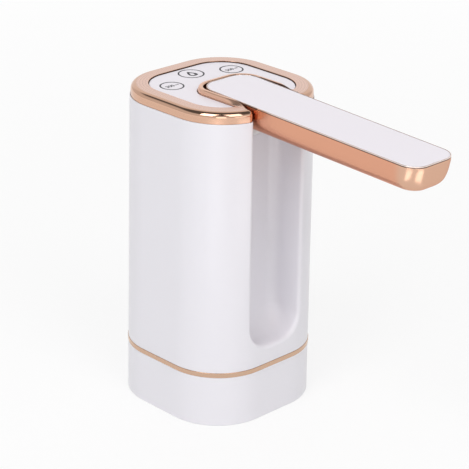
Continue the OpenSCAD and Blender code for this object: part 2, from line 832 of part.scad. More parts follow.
module wobble_plate() color(WHITE)
    on_pump(plate_z) difference() {
        union() {
            cylinder(h = plate_t, r = plate_r);
            cylinder(h = hub_h, r = hub_r);
        }
        translate([0, 0, plate_t / 2]) cylinder(h = hub_h, r = hub_bore);
        cup_ring() translate([0, 0, -cut]) cylinder(h = plate_t + 2 * cut, r = stem_r + fit_gap);
    }

module crank_housing() color(BLACK)
    on_pump(crank_z) difference() {
        cylinder(h = crank_h, r = head_r);
        translate([0, 0, -cut]) cylinder(h = crank_h - crank_lid + cut, r = crank_bore);
        cylinder(h = crank_h + cut, r = bush_r);
        pump_screw_ring() translate([0, 0, -cut])
            cylinder(h = pump_screw_l - (crank_z - head_z) + cut, r = pump_screw_r + fit_gap);
    }

module pump_screws() color(STEEL)
    on_pump(head_z + small_head_h) pump_screw_ring()
        screw(pump_screw_r, pump_screw_l - 2 * small_head_h, pump_head_r, small_head_h);

module motor_can() color(STEEL)
    on_pump(motor_z) difference() {
        cylinder(h = motor_l - motor_cap_t, r = motor_r);
        translate([0, 0, can_t]) cylinder(h = motor_l, r = motor_r - can_t);
        translate([0, 0, -cut]) cylinder(h = motor_l, r = bush_r + fit_gap);
    }

module motor_magnets() color(BLACK)
    on_pump(motor_z + bush_l + motor_space) for (s = [0, 180]) rotate(s + magnet_gap)
        rotate_extrude(angle = 180 - 2 * magnet_gap)
            translate([motor_r - can_t - fit_gap - magnet_t, 0])
                square([magnet_t, motor_l - motor_cap_t - 2 * bush_l - 2 * motor_space]);

module motor_bushes() color("#a07a3c")
    on_pump(motor_z) for (z = [0, motor_l - bush_l]) translate([0, 0, z]) difference() {
        cylinder(h = bush_l, r = bush_r);
        translate([0, 0, -cut]) cylinder(h = bush_l + 2 * cut, r = shaft_r + run_clear);
    }

module motor_cap() color(BLACK)
    on_pump(motor_top - motor_cap_t) difference() {
        union() {
            cylinder(h = motor_cap_t, r = motor_r);
            translate([0, 0, -motor_space]) cylinder(h = motor_cap_t, r = motor_r - can_t - fit_gap);
        }
        translate([0, 0, -motor_space - cut])
            cylinder(h = motor_cap_t + motor_space + 2 * cut, r = bush_r + fit_gap);
    }

module motor_shaft() color(STEEL)
    on_pump(crank_hub_z) cylinder(h = motor_top + motor_space - crank_hub_z, r = shaft_r);

module rotor_core() color("#8a5a33")
    on_pump(motor_z + bush_l + 2 * motor_space) difference() {
        cylinder(h = motor_l - motor_cap_t - 2 * bush_l - 5 * motor_space, r = rotor_r);
        translate([0, 0, -cut]) cylinder(h = motor_l, r = shaft_r + fit_gap);
        for (i = [1 : screw_count]) rotate(turn(i)) translate([rotor_r / 2, -slot_w / 2, -cut])
            cube([rotor_r, slot_w, motor_l]);
    }

module commutator() color("#b87333")
    on_pump(motor_top - bush_l - 3 * motor_space) difference() {
        cylinder(h = 2 * motor_space, r = bush_r);
        translate([0, 0, -cut]) cylinder(h = 2 * motor_space + 2 * cut, r = shaft_r + fit_gap);
    }

module crank_hub() color(WHITE)
    on_pump(crank_hub_z) difference() {
        cylinder(h = crank_hub_h, r = crank_r);
        translate([0, 0, -cut]) cylinder(h = crank_hub_h + 2 * cut, r = shaft_r + fit_gap);
        crank_pin_form(fit_gap);
    }

// Leaning pin between the wobble plate and the crank hub, from the hub's underside
module crank_pin_form(grow) {
    drop = crank_hub_z - plate_z - plate_t / 2 - side_gap;
    lean = atan((pin_throw_high - pin_throw_low) / drop);
    translate([pin_throw_low, 0, -drop]) rotate([0, lean, 0])
        cylinder(h = drop + crank_hub_h / 2, r = crank_pin_r + grow);
}

module crank_pin() color(STEEL)
    on_pump(crank_hub_z) crank_pin_form(0);

// Battery, boards and charging socket

module battery_cell() color("#3f6fb0")
    translate([battery_x, battery_y, cell_z]) {
        cylinder(h = cell_l - cell_tip, r = cell_r);
        cylinder(h = cell_l, r = cell_r / 3);
    }

module battery_cradle() color(BLACK)
    translate([battery_x, battery_y, deck_top]) difference() {
        cylinder(h = cell_l, r = cell_r + cradle_t);
        translate([0, 0, cradle_t]) cylinder(h = cell_l, r = cell_r + fit_gap);
        translate([-2 * cell_r, -2 * cell_r, cell_l / 6]) cube([2 * cell_r, 4 * cell_r, cell_l]);
    }

module main_board() color(GREEN)
    difference() {
        translate([board_x, -board_w / 2, board_z]) cube([board_t, board_w, board_h]);
        on_board() translate([-cut, 0, 0]) along_x(0, board_t + 2 * cut, small_screw_r + fit_gap);
    }

// Controller, charger, coil and two plugs, each as [across, up, height off the board, y, z]
BOARD_PARTS = [[9, 9, 1.6, 0, 32], [5, 5, 1, 0, 22], [6.6, 6.6, 3, 10, 24], [10, 5, 5.5, 13, 42],
    [8, 5, 5.5, 2, 42]];

module board_parts() color(BLACK)
    for (p = BOARD_PARTS)
        translate([board_x + board_t, p[3] - p[0] / 2, board_z + p[4] - p[1] / 2]) cube([p[2], p[0], p[1]]);

module board_screws() color(STEEL)
    on_board() translate([board_t, 0, 0]) rotate([0, -90, 0])
        screw(small_screw_r, board_t + post_l - cut, small_head_r, small_head_h);

// Front of the charging socket, run in along +X
module usb_form(grow, depth) {
    rotate([90, 0, 90]) linear_extrude(depth)
        offset(r = USB.y / 2 - usb_wall + grow, $fn = hull_fn)
            square([USB.x - USB.y + 2 * usb_wall, 2 * usb_wall], center = true);
}

module usb_socket() color(STEEL)
    translate([usb_recess - side_at(usb_z), 0, usb_z]) {
        depth = board_x + side_at(usb_z) - usb_recess - fit_gap;
        difference() {
            usb_form(0, depth);
            translate([-cut, 0, 0]) usb_form(-usb_wall, depth);
        }
        translate([usb_recess, -usb_tongue / 2, -usb_wall])
            cube([depth - usb_recess, usb_tongue, 2 * usb_wall]);
    }

body_shell();
base_skirt();
trim_ring();
neck_seal();
lower_deck();
deck_screws();
top_ring();
touch_panel();
touch_board();
hinge_frame();
frame_screws();
arm_trough();
arm_cover();
arm_tube();
outlet_nozzle();
hinge_pin();
water_swivel();
swivel_seals();
hinge_washers();
suction_elbow();
inlet_hose();
outlet_hose();
pump_mount();
pump_head();
check_valves();
valve_plate();
diaphragm();
wobble_plate();
crank_housing();
pump_screws();
motor_can();
motor_magnets();
motor_bushes();
motor_cap();
motor_shaft();
rotor_core();
commutator();
crank_hub();
crank_pin();
battery_cell();
battery_cradle();
main_board();
board_parts();
board_screws();
usb_socket();
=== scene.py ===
"""Looks of a folding electric water jug pump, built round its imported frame.

The file is laid out as an add-on: its sizes and colours are properties, each piece has its own
operator, and main() runs them all. Lengths are kept as metres in the properties. Shapes are worked
out in millimetres and scaled when a piece's mesh is made.
"""

import json
import math
from types import SimpleNamespace

import bmesh
import bpy
import numpy as np
from bpy.props import FloatProperty, FloatVectorProperty, PointerProperty
from mathutils import Matrix, Vector

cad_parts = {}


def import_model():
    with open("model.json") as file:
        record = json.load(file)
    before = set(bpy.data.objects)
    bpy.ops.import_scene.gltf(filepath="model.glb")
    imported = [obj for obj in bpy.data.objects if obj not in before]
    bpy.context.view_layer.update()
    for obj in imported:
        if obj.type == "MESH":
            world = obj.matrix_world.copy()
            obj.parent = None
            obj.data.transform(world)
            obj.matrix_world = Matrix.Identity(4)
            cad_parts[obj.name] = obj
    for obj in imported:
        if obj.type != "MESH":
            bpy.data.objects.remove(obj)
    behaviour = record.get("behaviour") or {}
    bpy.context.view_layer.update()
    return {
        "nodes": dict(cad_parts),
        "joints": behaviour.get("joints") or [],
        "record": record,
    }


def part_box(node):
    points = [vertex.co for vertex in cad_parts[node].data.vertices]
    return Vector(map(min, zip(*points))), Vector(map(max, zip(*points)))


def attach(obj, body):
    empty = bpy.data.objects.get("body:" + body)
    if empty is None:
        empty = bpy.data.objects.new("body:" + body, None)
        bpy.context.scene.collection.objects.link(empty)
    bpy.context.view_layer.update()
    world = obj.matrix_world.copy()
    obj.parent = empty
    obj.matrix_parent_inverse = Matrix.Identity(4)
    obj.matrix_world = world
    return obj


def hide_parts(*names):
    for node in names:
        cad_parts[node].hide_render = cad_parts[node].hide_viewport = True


bl_info = {
    "name": "Water jug pump",
    "version": (1, 0, 0),
    "blender": (4, 5, 0),
    "location": "View3D > Sidebar > Jug pump",
    "description": "Dresses the packed frame of a folding electric water jug pump",
    "category": "Add Mesh",
}

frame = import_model()
MM = 0.001


def reach(node, axis, end):
    """Place of a node's low (0) or high (1) end along an axis, in metres."""
    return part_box(node)[end][axis]


def joint_place(name):
    """Place of a joint of the frame, in metres."""
    return next(Vector(j["pos_m"]) for j in frame["joints"] if j["name"] == name)


# Properties

def length(label, about, default):
    """Property that holds a length."""
    return FloatProperty(name=label, description=about, default=default, unit="LENGTH", subtype="DISTANCE",
                         precision=5)


def colour(label, about, default):
    """Property that holds a colour, as linear light."""
    return FloatVectorProperty(name=label, description=about, default=default, size=3, min=0, max=1,
                               subtype="COLOR")


class BodySizes(bpy.types.PropertyGroup):
    """Body, base and trim."""

    half: length("Half width", "Half of the body's width at its top edge", 35.0 * MM)
    corner: length("Corner radius", "Radius of the upright corners at the top edge", 24.3 * MM)
    table_half: length("Half width at the table", "Half of the base's width", reach("base_skirt", 1, 1))
    top: length("Top edge", "Height of the body's top edge", reach("body_shell", 2, 1))
    low: length("Lower edge", "Height of the body's lower edge", reach("body_shell", 2, 0))
    wall: length("Wall", "Thickness of the body's wall", 1.6 * MM)
    edge_round: length("Edge round", "Radius along the body's upper and lower edges", 0.3 * MM)
    channel_half: length("Channel half width", "Half of the arm channel's width", 14.5 * MM)
    channel_back: length("Channel back", "Place of the channel's rear wall", 18.5 * MM)
    channel_low: length("Channel bottom", "Height of the channel's lower end", 33.6 * MM)
    channel_corner: length("Channel corner", "Radius of the channel's lower corners", 11.0 * MM)
    channel_top: length("Channel top", "Height where the hinge frame takes over the channel", 128.4 * MM)
    channel_fillet: length("Channel fillet", "Radius along the inner edges of the channel", 5.5 * MM)
    channel_scoop: length("Channel scoop", "Radius along the inner edge of the channel's low end", 8.5 * MM)
    ramp_top: length("Ramp top", "Height where the rear wall starts to come forward", 52.0 * MM)
    ramp_out: length("Ramp", "Distance that the rear wall comes forward at the lower end", 3.2 * MM)
    mouth_round: length("Mouth round", "Radius along the channel's mouth", 1.9 * MM)
    slot_half: length("Slot half width", "Half of the charging slot's width", 4.8 * MM)
    slot_round: length("Slot end radius", "Radius of the charging slot's ends", 1.95 * MM)
    slot_height: length("Slot height", "Height of the charging slot's middle", 60.0 * MM)
    trim_low: length("Trim's lower edge", "Height of the trim ring's lower edge", reach("trim_ring", 2, 0))
    trim_lap: length("Trim lap", "Distance that the trim laps over base and body", 0.35 * MM)
    trim_proud: length("Trim proud", "Distance that the trim stands out of the walls", 0.22 * MM)
    base_round: length("Base round", "Radius along the base's lower edge", 0.4 * MM)
    seal_radius: length("Seal radius", "Radius of the hole for the neck seal", 30.5 * MM)
    seat_height: length("Seat height", "Height of the neck seal's top", reach("neck_seal", 2, 1))
    mouth_radius: length("Neck opening", "Radius of the opening above the neck", 22.0 * MM)


class TopSizes(bpy.types.PropertyGroup):
    """Top ring, touch panel and printed keys."""

    ring_half: length("Ring half width", "Half of the ring's width", reach("top_ring", 1, 1))
    ring_top: length("Ring top", "Height of the ring's top", reach("top_ring", 2, 1))
    ring_round: length("Ring round", "Radius along the ring's upper outer edge", 2.4 * MM)
    rim_round: length("Rim round", "Radius along the edge round the pocket", 0.6 * MM)
    hole_round: length("Inner round", "Radius along the ring's edge beside the panel", 0.15 * MM)
    foot_round: length("Foot round", "Radius along the ring's lower edge", 0.04 * MM)
    tip_radius: length("Tip radius", "Plan radius of the ring's ends beside the arm", 2.2 * MM)
    pocket_half: length("Pocket half width", "Half of the width of the arm's pocket", 14.0 * MM)
    pocket_rear: length("Pocket rear", "Place of the pocket's rear wall", -1.8 * MM)
    pocket_radius: length("Pocket radius", "Radius of the pocket's rear corners", 8.1 * MM)
    rim_width: length("Rim width", "Width of the plated rim round the pocket", 2.4 * MM)
    ring_width: length("Ring width", "Width of the ring from its side to the panel", 7.6 * MM)
    rim_rise: length("Rim rise", "Height of the rim round the pocket over the ring's top", 1.7 * MM)
    # The dark line on the pocket's far wall is painted shade
    line_start: length("Dark line", "Place where the dark line on the pocket's far wall starts", 8.0 * MM)
    horn_radius: length("Horn radius", "Radius of the panel's two front ends", 1.2 * MM)
    panel_top: length("Panel top", "Height of the panel's top", reach("touch_panel", 2, 1) + 0.32 * MM)
    panel_low: length("Panel underside", "Height of the panel's underside", reach("touch_panel", 2, 0))
    panel_gap: length("Panel gap", "Gap between the panel and the ring", 0.25 * MM)
    panel_round: length("Panel round", "Radius along the panel's upper edge", 0.3 * MM)
    key_x: length("Side keys along", "Place of the two side keys along the arm", -12.5 * MM)
    key_y: length("Side keys across", "Distance of the two side keys from the middle", 17.55 * MM)
    key_radius: length("Side key radius", "Radius of the two side keys", 5.0 * MM)
    drop_x: length("Rear key along", "Place of the rear key along the arm", -19.4 * MM)
    drop_radius: length("Rear key radius", "Radius of the rear key", 5.5 * MM)
    line_width: length("Key line", "Width of the printed lines", 0.7 * MM)
    print_proud: length("Print height", "Thickness of the print", 0.03 * MM)


class ArmSizes(bpy.types.PropertyGroup):
    """Spout arm, measured from its hinge axis along the raised arm."""

    droop: FloatProperty(name="Droop", description="Slope of the raised arm down to its tip",
                         default=math.radians(1.95), unit="ROTATION", subtype="ANGLE")
    rise: length("Rise", "Distance from the hinge axis up to the arm's top", 12.4 * MM)
    low: length("Underside", "Height of the arm's underside from the hinge axis", -0.13 * MM)
    front: length("Front", "Distance from the hinge axis to the arm's front end", 96.6 * MM)
    rear: length("Rear", "Place of the arm's rear end", -23.3 * MM)
    root_half: length("Root half width", "Half of the arm's width at the hinge axis", 13.6 * MM)
    tip_half: length("Tip half width", "Half of the arm's width at its front end", 12.95 * MM)
    rear_radius: length("Rear radius", "Plan radius of the arm's rear corners", 8.4 * MM)
    tip_radius: length("Tip radius", "Plan radius of the arm's front corners", 7.2 * MM)
    edge_radius: length("Edge radius", "Radius along the arm's lower edges", 7.25 * MM)
    lean_back: length("Lean", "Distance that the front end leans back to its foot", 1.9 * MM)
    toe_round: length("Toe round", "Radius along the foot of the front end", 3.4 * MM)
    tip_flat: length("Tip flat", "Height of the upright part of the front end", 2.0 * MM)
    wall: length("Wall", "Thickness of the trough's wall", 1.8 * MM)
    cover: length("Cover depth", "Depth from the arm's top to the underside of its cover", 1.8 * MM)
    # The bead's bright look is a painted highlight from its pale plating
    bead: length("Bead height", "Height of the bright bead round the cover", 0.5 * MM)
    bead_width: length("Bead width", "Width of the bright bead round the cover", 0.4 * MM)
    bead_round: length("Bead round", "Radius along the bead's upper edge", 0.2 * MM)
    # The seam under the bead is painted dark as shade
    seam: length("Seam", "Height of the dark seam under the bead", 0.22 * MM)
    plate_gap: length("Plate gap", "Gap between the bead and the cover", 0.07 * MM)
    plate_round: length("Plate round", "Radius along the cover's upper edge", 0.25 * MM)
    knuckle_radius: length("Knuckle radius", "Radius of the hinge knuckle", 5.0 * MM)
    knuckle_half: length("Knuckle half length", "Half of the hinge knuckle's length", 13.2 * MM)
    pin_radius: length("Pin bore", "Radius of the bores for the hinge pins", 3.05 * MM)
    pin_depth: length("Pin depth", "Depth of the bores for the hinge pins", 7.0 * MM)
    nozzle_x: length("Nozzle place", "Distance from the hinge axis to the outlet nozzle", 76.6 * MM)
    nozzle_radius: length("Nozzle hole", "Radius of the hole for the outlet nozzle", 4.05 * MM)


class Finishes(bpy.types.PropertyGroup):
    """Colours of the finishes."""

    white: colour("White shell", "Glossy white moulding", (0.80, 0.785, 0.83))
    white_plate: colour("White plate", "Glossy white of the arm's plate and the touch panel",
                        (0.832, 0.79, 0.845))
    inner_white: colour("Inner white", "White moulding of inner pieces", (0.74, 0.735, 0.73))
    gold: colour("Rose gold", "Rose-gold plating", (0.73, 0.365, 0.24))
    gold_edge: colour("Rose gold at flat angles", "Tint of the plating where it is seen edge on",
                      (0.86, 0.68, 0.62))
    gold_soft: colour("Soft rose gold", "Plating of the ring's side and the arm's tip", (0.70, 0.435, 0.31))
    gold_rim: colour("Rim gold", "Plating of the rim round the arm's pocket", (0.90, 0.56, 0.41))
    # Darker plating, painted as shade on the walls of the arm's pocket
    gold_deep: colour("Deep gold", "Plating inside the arm's pocket", (0.45, 0.20, 0.10))
    gold_tan: colour("Tan gold", "Plating of the thin trim ring", (0.62, 0.42, 0.30))
    gold_satin: colour("Satin rose gold", "Satin plating on the ring's top", (0.84, 0.575, 0.475))
    # Pale plating, painted as a highlight along the arm's bead
    gold_pale: colour("Pale rose gold", "Bright plating on the arm's upper edge", (0.92, 0.78, 0.72))
    silicone: colour("Silicone", "Milky silicone", (0.68, 0.69, 0.68))
    steel: colour("Steel", "Plain steel", (0.56, 0.565, 0.575))
    black: colour("Black plastic", "Black moulding and rubber", (0.022, 0.022, 0.024))
    printing: colour("Print", "Printed key marks", (0.035, 0.035, 0.04))
    seam: colour("Seam", "Shadow in the narrow seams", (0.06, 0.027, 0.017))
    board: colour("Circuit board", "Solder mask of the boards", (0.025, 0.145, 0.07))
    copper: colour("Copper", "Copper windings", (0.72, 0.33, 0.17))
    iron: colour("Iron", "Iron of the rotor and the magnets", (0.16, 0.155, 0.15))
    bronze: colour("Bronze", "Bronze bushes", (0.48, 0.31, 0.12))
    cell: colour("Cell wrap", "Wrap of the battery cell", (0.06, 0.19, 0.43))


GROUPS = {"pump_body": BodySizes, "pump_top": TopSizes, "pump_arm": ArmSizes, "pump_finish": Finishes}


def lengths(name):
    """The lengths of a property group in millimetres; an angle stays as it is."""
    group = getattr(bpy.context.scene, name)
    values = {}
    for key, prop in group.bl_rna.properties.items():
        unit = getattr(prop, "unit", "NONE")
        if unit == "LENGTH":
            values[key] = getattr(group, key) / MM
        elif unit == "ROTATION":
            values[key] = getattr(group, key)
    return SimpleNamespace(**values)


def finish(name):
    """A finish's colour with full opacity."""
    return (*getattr(bpy.context.scene.pump_finish, name), 1.0)


# Outlines. A path is an array of rows: x, y and the outward normal's x and y.

# Heights this close in millimetres count as the same, and so do numbers this close
NEAR = 0.01
TINY = 1e-6


def line(start, end, normal, count):
    """Points along a line, without its last point."""
    t = np.arange(count)[:, None] / count
    points = np.array(start) + t * (np.array(end) - np.array(start))
    return np.hstack([points, np.tile(normal, (count, 1))])


def arc(centre, radius, start, end, count, outward=1):
    """Points along an arc between two angles in degrees, without its last point."""
    angles = np.radians(start + (end - start) * np.arange(count) / count)
    rays = np.column_stack([np.cos(angles), np.sin(angles)])
    return np.hstack([np.array(centre) + radius * rays, outward * rays])


def unit_circle(count):
    """Points round a circle with a radius of 1."""
    angles = np.linspace(0, 2 * math.pi, count, endpoint=False)
    return np.column_stack([np.cos(angles), np.sin(angles)])


def both_sides(half, last):
    """Closed path from the half of it with y from 0 up, and the half's last point."""
    half = np.vstack([half, [last]])
    other = half[-2:0:-1] * [1, -1, 1, -1]
    return np.vstack([half, other])


def moved(path, distance):
    """Points of a path moved along its normals."""
    return path[:, :2] + np.reshape(distance, (-1, 1)) * path[:, 2:]


def round_square(corner, radius, flat_count=12, arc_count=18):
    """Path of a square with round corners, from the middle of its front."""
    side = corner + radius
    half = np.vstack([
        line((side, 0), (side, corner), (1, 0), flat_count // 2),
        arc((corner, corner), radius, 0, 90, arc_count),
        line((corner, side), (-corner, side), (0, 1), flat_count),
        arc((-corner, corner), radius, 90, 180, arc_count),
        line((-side, corner), (-side, 0), (-1, 0), flat_count // 2),
    ])
    return both_sides(half, (-side, 0, -1, 0))


def raised(points, height):
    """Points in a plane, set at a height."""
    return np.column_stack([points, np.broadcast_to(height, len(points))])


def quarter(count):
    """Angles from 0 to 90 degrees, in radians."""
    return np.radians(np.linspace(0, 90, count + 1))


def rounding(radius, count):
    """Steps over a rounded edge from its side to its top: distance in from the side, and below the top."""
    return [(radius * (1 - math.cos(t)), radius * (1 - math.sin(t))) for t in quarter(count)]


def rounded_top(path, radius, top, count, inset=0.0):
    """Loops of a path from its side over a rounded edge to its top."""
    return [raised(moved(path, -inset - step), top - drop) for step, drop in rounding(radius, count)]


def smooth_step(low, high, value):
    """Soft step from 0 to 1 between two values."""
    t = np.clip((value - low) / (high - low), 0, 1)
    return t * t * (3 - 2 * t)


# Meshes

# Points closer than this in millimetres become one, and edges over this angle stay sharp
WELD_DISTANCE = 1e-4
SHARP_ANGLE = math.radians(40)


def new_object(name, data):
    """Object that is linked to the scene."""
    obj = bpy.data.objects.new(name, data)
    bpy.context.scene.collection.objects.link(obj)
    return obj


class Skin:
    """Mesh of one piece, gathered loop by loop in millimetres."""

    def __init__(self):
        self.bm = bmesh.new()

    def loop(self, points):
        """New points of the mesh."""
        return [self.bm.verts.new(p) for p in points]

    def strip(self, a, b, closed=True, material=0, keep=None):
        """Quads between two loops of equal counts; keep says which of them are made.

        The material is one number for all of them, or a list with one for each.
        """
        count = len(a) if closed else len(a) - 1
        for i in range(count):
            if keep is None or keep[i]:
                j = (i + 1) % len(a)
                face = self.bm.faces.new((a[i], a[j], b[j], b[i]))
                face.material_index = material if isinstance(material, int) else material[i]

    def loft(self, levels, closed=True, material=0):
        """Skin through a list of point loops; gives the first and the last loop."""
        loops = [self.loop(points) for points in levels]
        for a, b in zip(loops, loops[1:]):
            self.strip(a, b, closed, material)
        return loops[0], loops[-1]

    def fill(self, *loops, material=0):
        """Flat face inside the first loop and outside the others."""
        edges = []
        for loop in loops:
            for a, b in zip(loop, loop[1:] + loop[:1]):
                edges.append(self.bm.edges.get((a, b)) or self.bm.edges.new((a, b)))
        made = bmesh.ops.triangle_fill(self.bm, use_beauty=True, use_dissolve=False, edges=edges)
        for item in made["geom"]:
            if isinstance(item, bmesh.types.BMFace):
                item.material_index = material

    def place(self, matrix):
        """Moves the whole mesh."""
        bmesh.ops.transform(self.bm, matrix=matrix, verts=self.bm.verts)

    def piece(self, name, finishes, body, nodes=(), wall=0):
        """Object of the mesh, which rides on a body and stands for CAD nodes."""
        bmesh.ops.remove_doubles(self.bm, verts=self.bm.verts, dist=WELD_DISTANCE)
        bmesh.ops.recalc_face_normals(self.bm, faces=self.bm.faces)
        rearmost = min(self.bm.faces, key=lambda face: face.calc_center_median().x)
        if rearmost.normal.x > 0:
            bmesh.ops.reverse_faces(self.bm, faces=self.bm.faces)
        bmesh.ops.scale(self.bm, vec=(MM, MM, MM), verts=self.bm.verts)
        mesh = bpy.data.meshes.new(name)
        self.bm.to_mesh(mesh)
        self.bm.free()
        mesh.polygons.foreach_set("use_smooth", [True] * len(mesh.polygons))
        mesh.set_sharp_from_angle(angle=SHARP_ANGLE)
        for finish_name in finishes:
            mesh.materials.append(get_material(finish_name))
        obj = new_object(name, mesh)
        if wall:
            shell = obj.modifiers.new("wall", "SOLIDIFY")
            shell.thickness = wall * MM
            shell.offset = -1
        even_normals(obj)
        return dress(obj, body, nodes)


def even_normals(obj):
    """Flat faces keep their own normals, and the rounds between them take the change."""
    weighted = obj.modifiers.new("normals", "WEIGHTED_NORMAL")
    weighted.keep_sharp = True


def dress(obj, body, nodes=()):
    """Sets a piece on its body and the CAD nodes that it stands for."""
    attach(obj, body)
    if nodes:
        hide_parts(*nodes)
    return obj


# Shader nodes

def feed(tree, socket, value):
    """Links an input to another node's output, or sets it to a plain value."""
    if isinstance(value, bpy.types.NodeSocket):
        tree.links.new(value, socket)
    else:
        socket.default_value = value


def add_node(tree, kind, inputs=None, **settings):
    """Node with its settings, and its inputs given by name or number."""
    node = tree.nodes.new(kind)
    for key, value in settings.items():
        setattr(node, key, value)
    for key, value in (inputs or {}).items():
        feed(tree, node.inputs[key], value)
    return node


def math_node(tree, operation, *values):
    """Result of a Math node on numbers or other nodes' outputs."""
    return add_node(tree, "ShaderNodeMath", dict(enumerate(values)), operation=operation).outputs[0]


def mixed(tree, factor, a, b):
    """Colour between two others."""
    inputs = {"Factor": factor, "A": a, "B": b}
    return add_node(tree, "ShaderNodeMix", inputs, data_type="RGBA").outputs["Result"]


def soft_change(tree, value, start, end, low, high):
    """Soft change from low to high while a value goes from start to end."""
    inputs = {"Value": value, "From Min": start, "From Max": end, "To Min": low, "To Max": high}
    return add_node(tree, "ShaderNodeMapRange", inputs, interpolation_type="SMOOTHSTEP").outputs["Result"]


def object_place(tree):
    """Place on the surface, in the object's own frame."""
    return add_node(tree, "ShaderNodeTexCoord").outputs["Object"]


def split_axes(tree, vector):
    """The three parts of a vector, by axis."""
    return add_node(tree, "ShaderNodeSeparateXYZ", {0: vector}).outputs


def noise(tree, vector, scale, detail):
    """Noise over a vector."""
    inputs = {"Vector": vector, "Scale": scale, "Detail": detail}
    return add_node(tree, "ShaderNodeTexNoise", inputs).outputs["Fac"]


# Shader groups

# Scales of the moulded grain: its fine skin and its slow changes
FINE_GRAIN = 2600.0
SLOW_GRAIN = 38.0
# Scale of the change of tone from one turned line to the next
LINE_TONE_SCALE = 2.6


def new_group(name, inputs, outputs):
    """Shader node group with float inputs, given with their defaults, and float outputs."""
    tree = bpy.data.node_groups.new(name, "ShaderNodeTree")
    for label, default in inputs.items():
        socket = tree.interface.new_socket(label, in_out="INPUT", socket_type="NodeSocketFloat")
        socket.default_value = default
    for label in outputs:
        tree.interface.new_socket(label, in_out="OUTPUT", socket_type="NodeSocketFloat")
    return tree, tree.nodes.new("NodeGroupInput").outputs, tree.nodes.new("NodeGroupOutput").inputs


def grain_group():
    """Moulded skin: a fine grain, and slow changes of gloss and tone."""
    inputs = {"Fine Scale": FINE_GRAIN, "Slow Scale": SLOW_GRAIN, "Roughness": 0.25, "Spread": 0.04}
    tree, given, out = new_group("moulded_grain", inputs, ("Roughness", "Tone", "Height"))
    place = object_place(tree)
    fine = noise(tree, place, given["Fine Scale"], 2.0)
    slow = noise(tree, place, given["Slow Scale"], 3.0)
    change = math_node(tree, "MULTIPLY", math_node(tree, "SUBTRACT", slow, 0.5), given["Spread"])
    feed(tree, out["Roughness"], math_node(tree, "ADD", given["Roughness"], change))
    feed(tree, out["Tone"], slow)
    feed(tree, out["Height"], fine)
    return tree


def line_group():
    """Fine turned lines that follow the ring's outline, with a change of tone from line to line."""
    sizes = lengths("pump_body")
    tree, given, out = new_group("turned_lines", {"Pitch": 0.9 * MM, "Softness": 0.5}, ("Line", "Tone"))
    axes = split_axes(tree, object_place(tree))
    corner = (sizes.half - sizes.corner) * MM
    squares = []
    for axis in ("X", "Y"):
        past_corner = math_node(tree, "SUBTRACT", math_node(tree, "ABSOLUTE", axes[axis]), corner)
        beyond = math_node(tree, "MAXIMUM", past_corner, 0.0)
        squares.append(math_node(tree, "MULTIPLY", beyond, beyond))
    distance = math_node(tree, "SQRT", math_node(tree, "ADD", *squares))
    turns = math_node(tree, "DIVIDE", distance, given["Pitch"])
    wave = math_node(tree, "MULTIPLY", math_node(tree, "PINGPONG", turns, 0.5), 2.0)
    feed(tree, out["Line"], math_node(tree, "POWER", wave, given["Softness"]))
    inputs = {"W": turns, "Scale": LINE_TONE_SCALE}
    tone = add_node(tree, "ShaderNodeTexNoise", inputs, noise_dimensions="1D")
    feed(tree, out["Tone"], tone.outputs["Fac"])
    return tree


def group_outputs(tree, name, build, inputs):
    """Outputs of a shared group in a material; the group is built the first time."""
    group = bpy.data.node_groups.get(name) or build()
    return add_node(tree, "ShaderNodeGroup", inputs, node_tree=group).outputs


# Materials

# Keeps these materials apart from the ones that come with the frame
FINISH_PREFIX = "pump_"
RELIEF_DEPTH = 0.05 * MM


def new_material(name, base, roughness, metallic=0.0):
    """Material with its Principled shader."""
    material = bpy.data.materials.new(FINISH_PREFIX + name)
    material.use_nodes = True
    shader = material.node_tree.nodes["Principled BSDF"]
    shader.inputs["Base Color"].default_value = base
    shader.inputs["Roughness"].default_value = roughness
    shader.inputs["Metallic"].default_value = metallic
    material.diffuse_color = base
    return material, shader


def shade(base, share):
    """A colour made darker or lighter, with full opacity."""
    return (*(min(1, c * share) for c in base[:3]), 1)


def add_relief(tree, shader, height, strength):
    """Fine relief in a finish's surface."""
    inputs = {"Strength": strength, "Distance": RELIEF_DEPTH, "Height": height}
    relief = add_node(tree, "ShaderNodeBump", inputs)
    feed(tree, shader.inputs["Normal"], relief.outputs["Normal"])


def grained(name, base, roughness, fine=FINE_GRAIN, slow=SLOW_GRAIN, spread=0.05, bump=0.01, tone=0.03,
            metallic=0.0):
    """Material with the moulded grain in its gloss, tone and surface."""
    material, shader = new_material(name, base, roughness, metallic)
    tree = material.node_tree
    inputs = {"Fine Scale": fine, "Slow Scale": slow, "Roughness": roughness, "Spread": spread}
    grain = group_outputs(tree, "moulded_grain", grain_group, inputs)
    tint = mixed(tree, grain["Tone"], shade(base, 1 - tone), shade(base, 1 + tone))
    feed(tree, shader.inputs["Base Color"], tint)
    feed(tree, shader.inputs["Roughness"], grain["Roughness"])
    add_relief(tree, shader, grain["Height"], bump)
    return material, shader


def glossy_white(name, base):
    """White moulding with a thin gloss."""
    material, shader = grained(name, base, 0.32, bump=0.012, tone=0.006)
    shader.inputs["Coat Weight"].default_value = 0.2
    shader.inputs["Coat Roughness"].default_value = 0.2
    return material


def white_shell():
    """White of the body and the base."""
    return glossy_white("white_shell", finish("white"))


def white_plate():
    """White of the arm's plate and the touch panel."""
    return glossy_white("white_plate", finish("white_plate"))


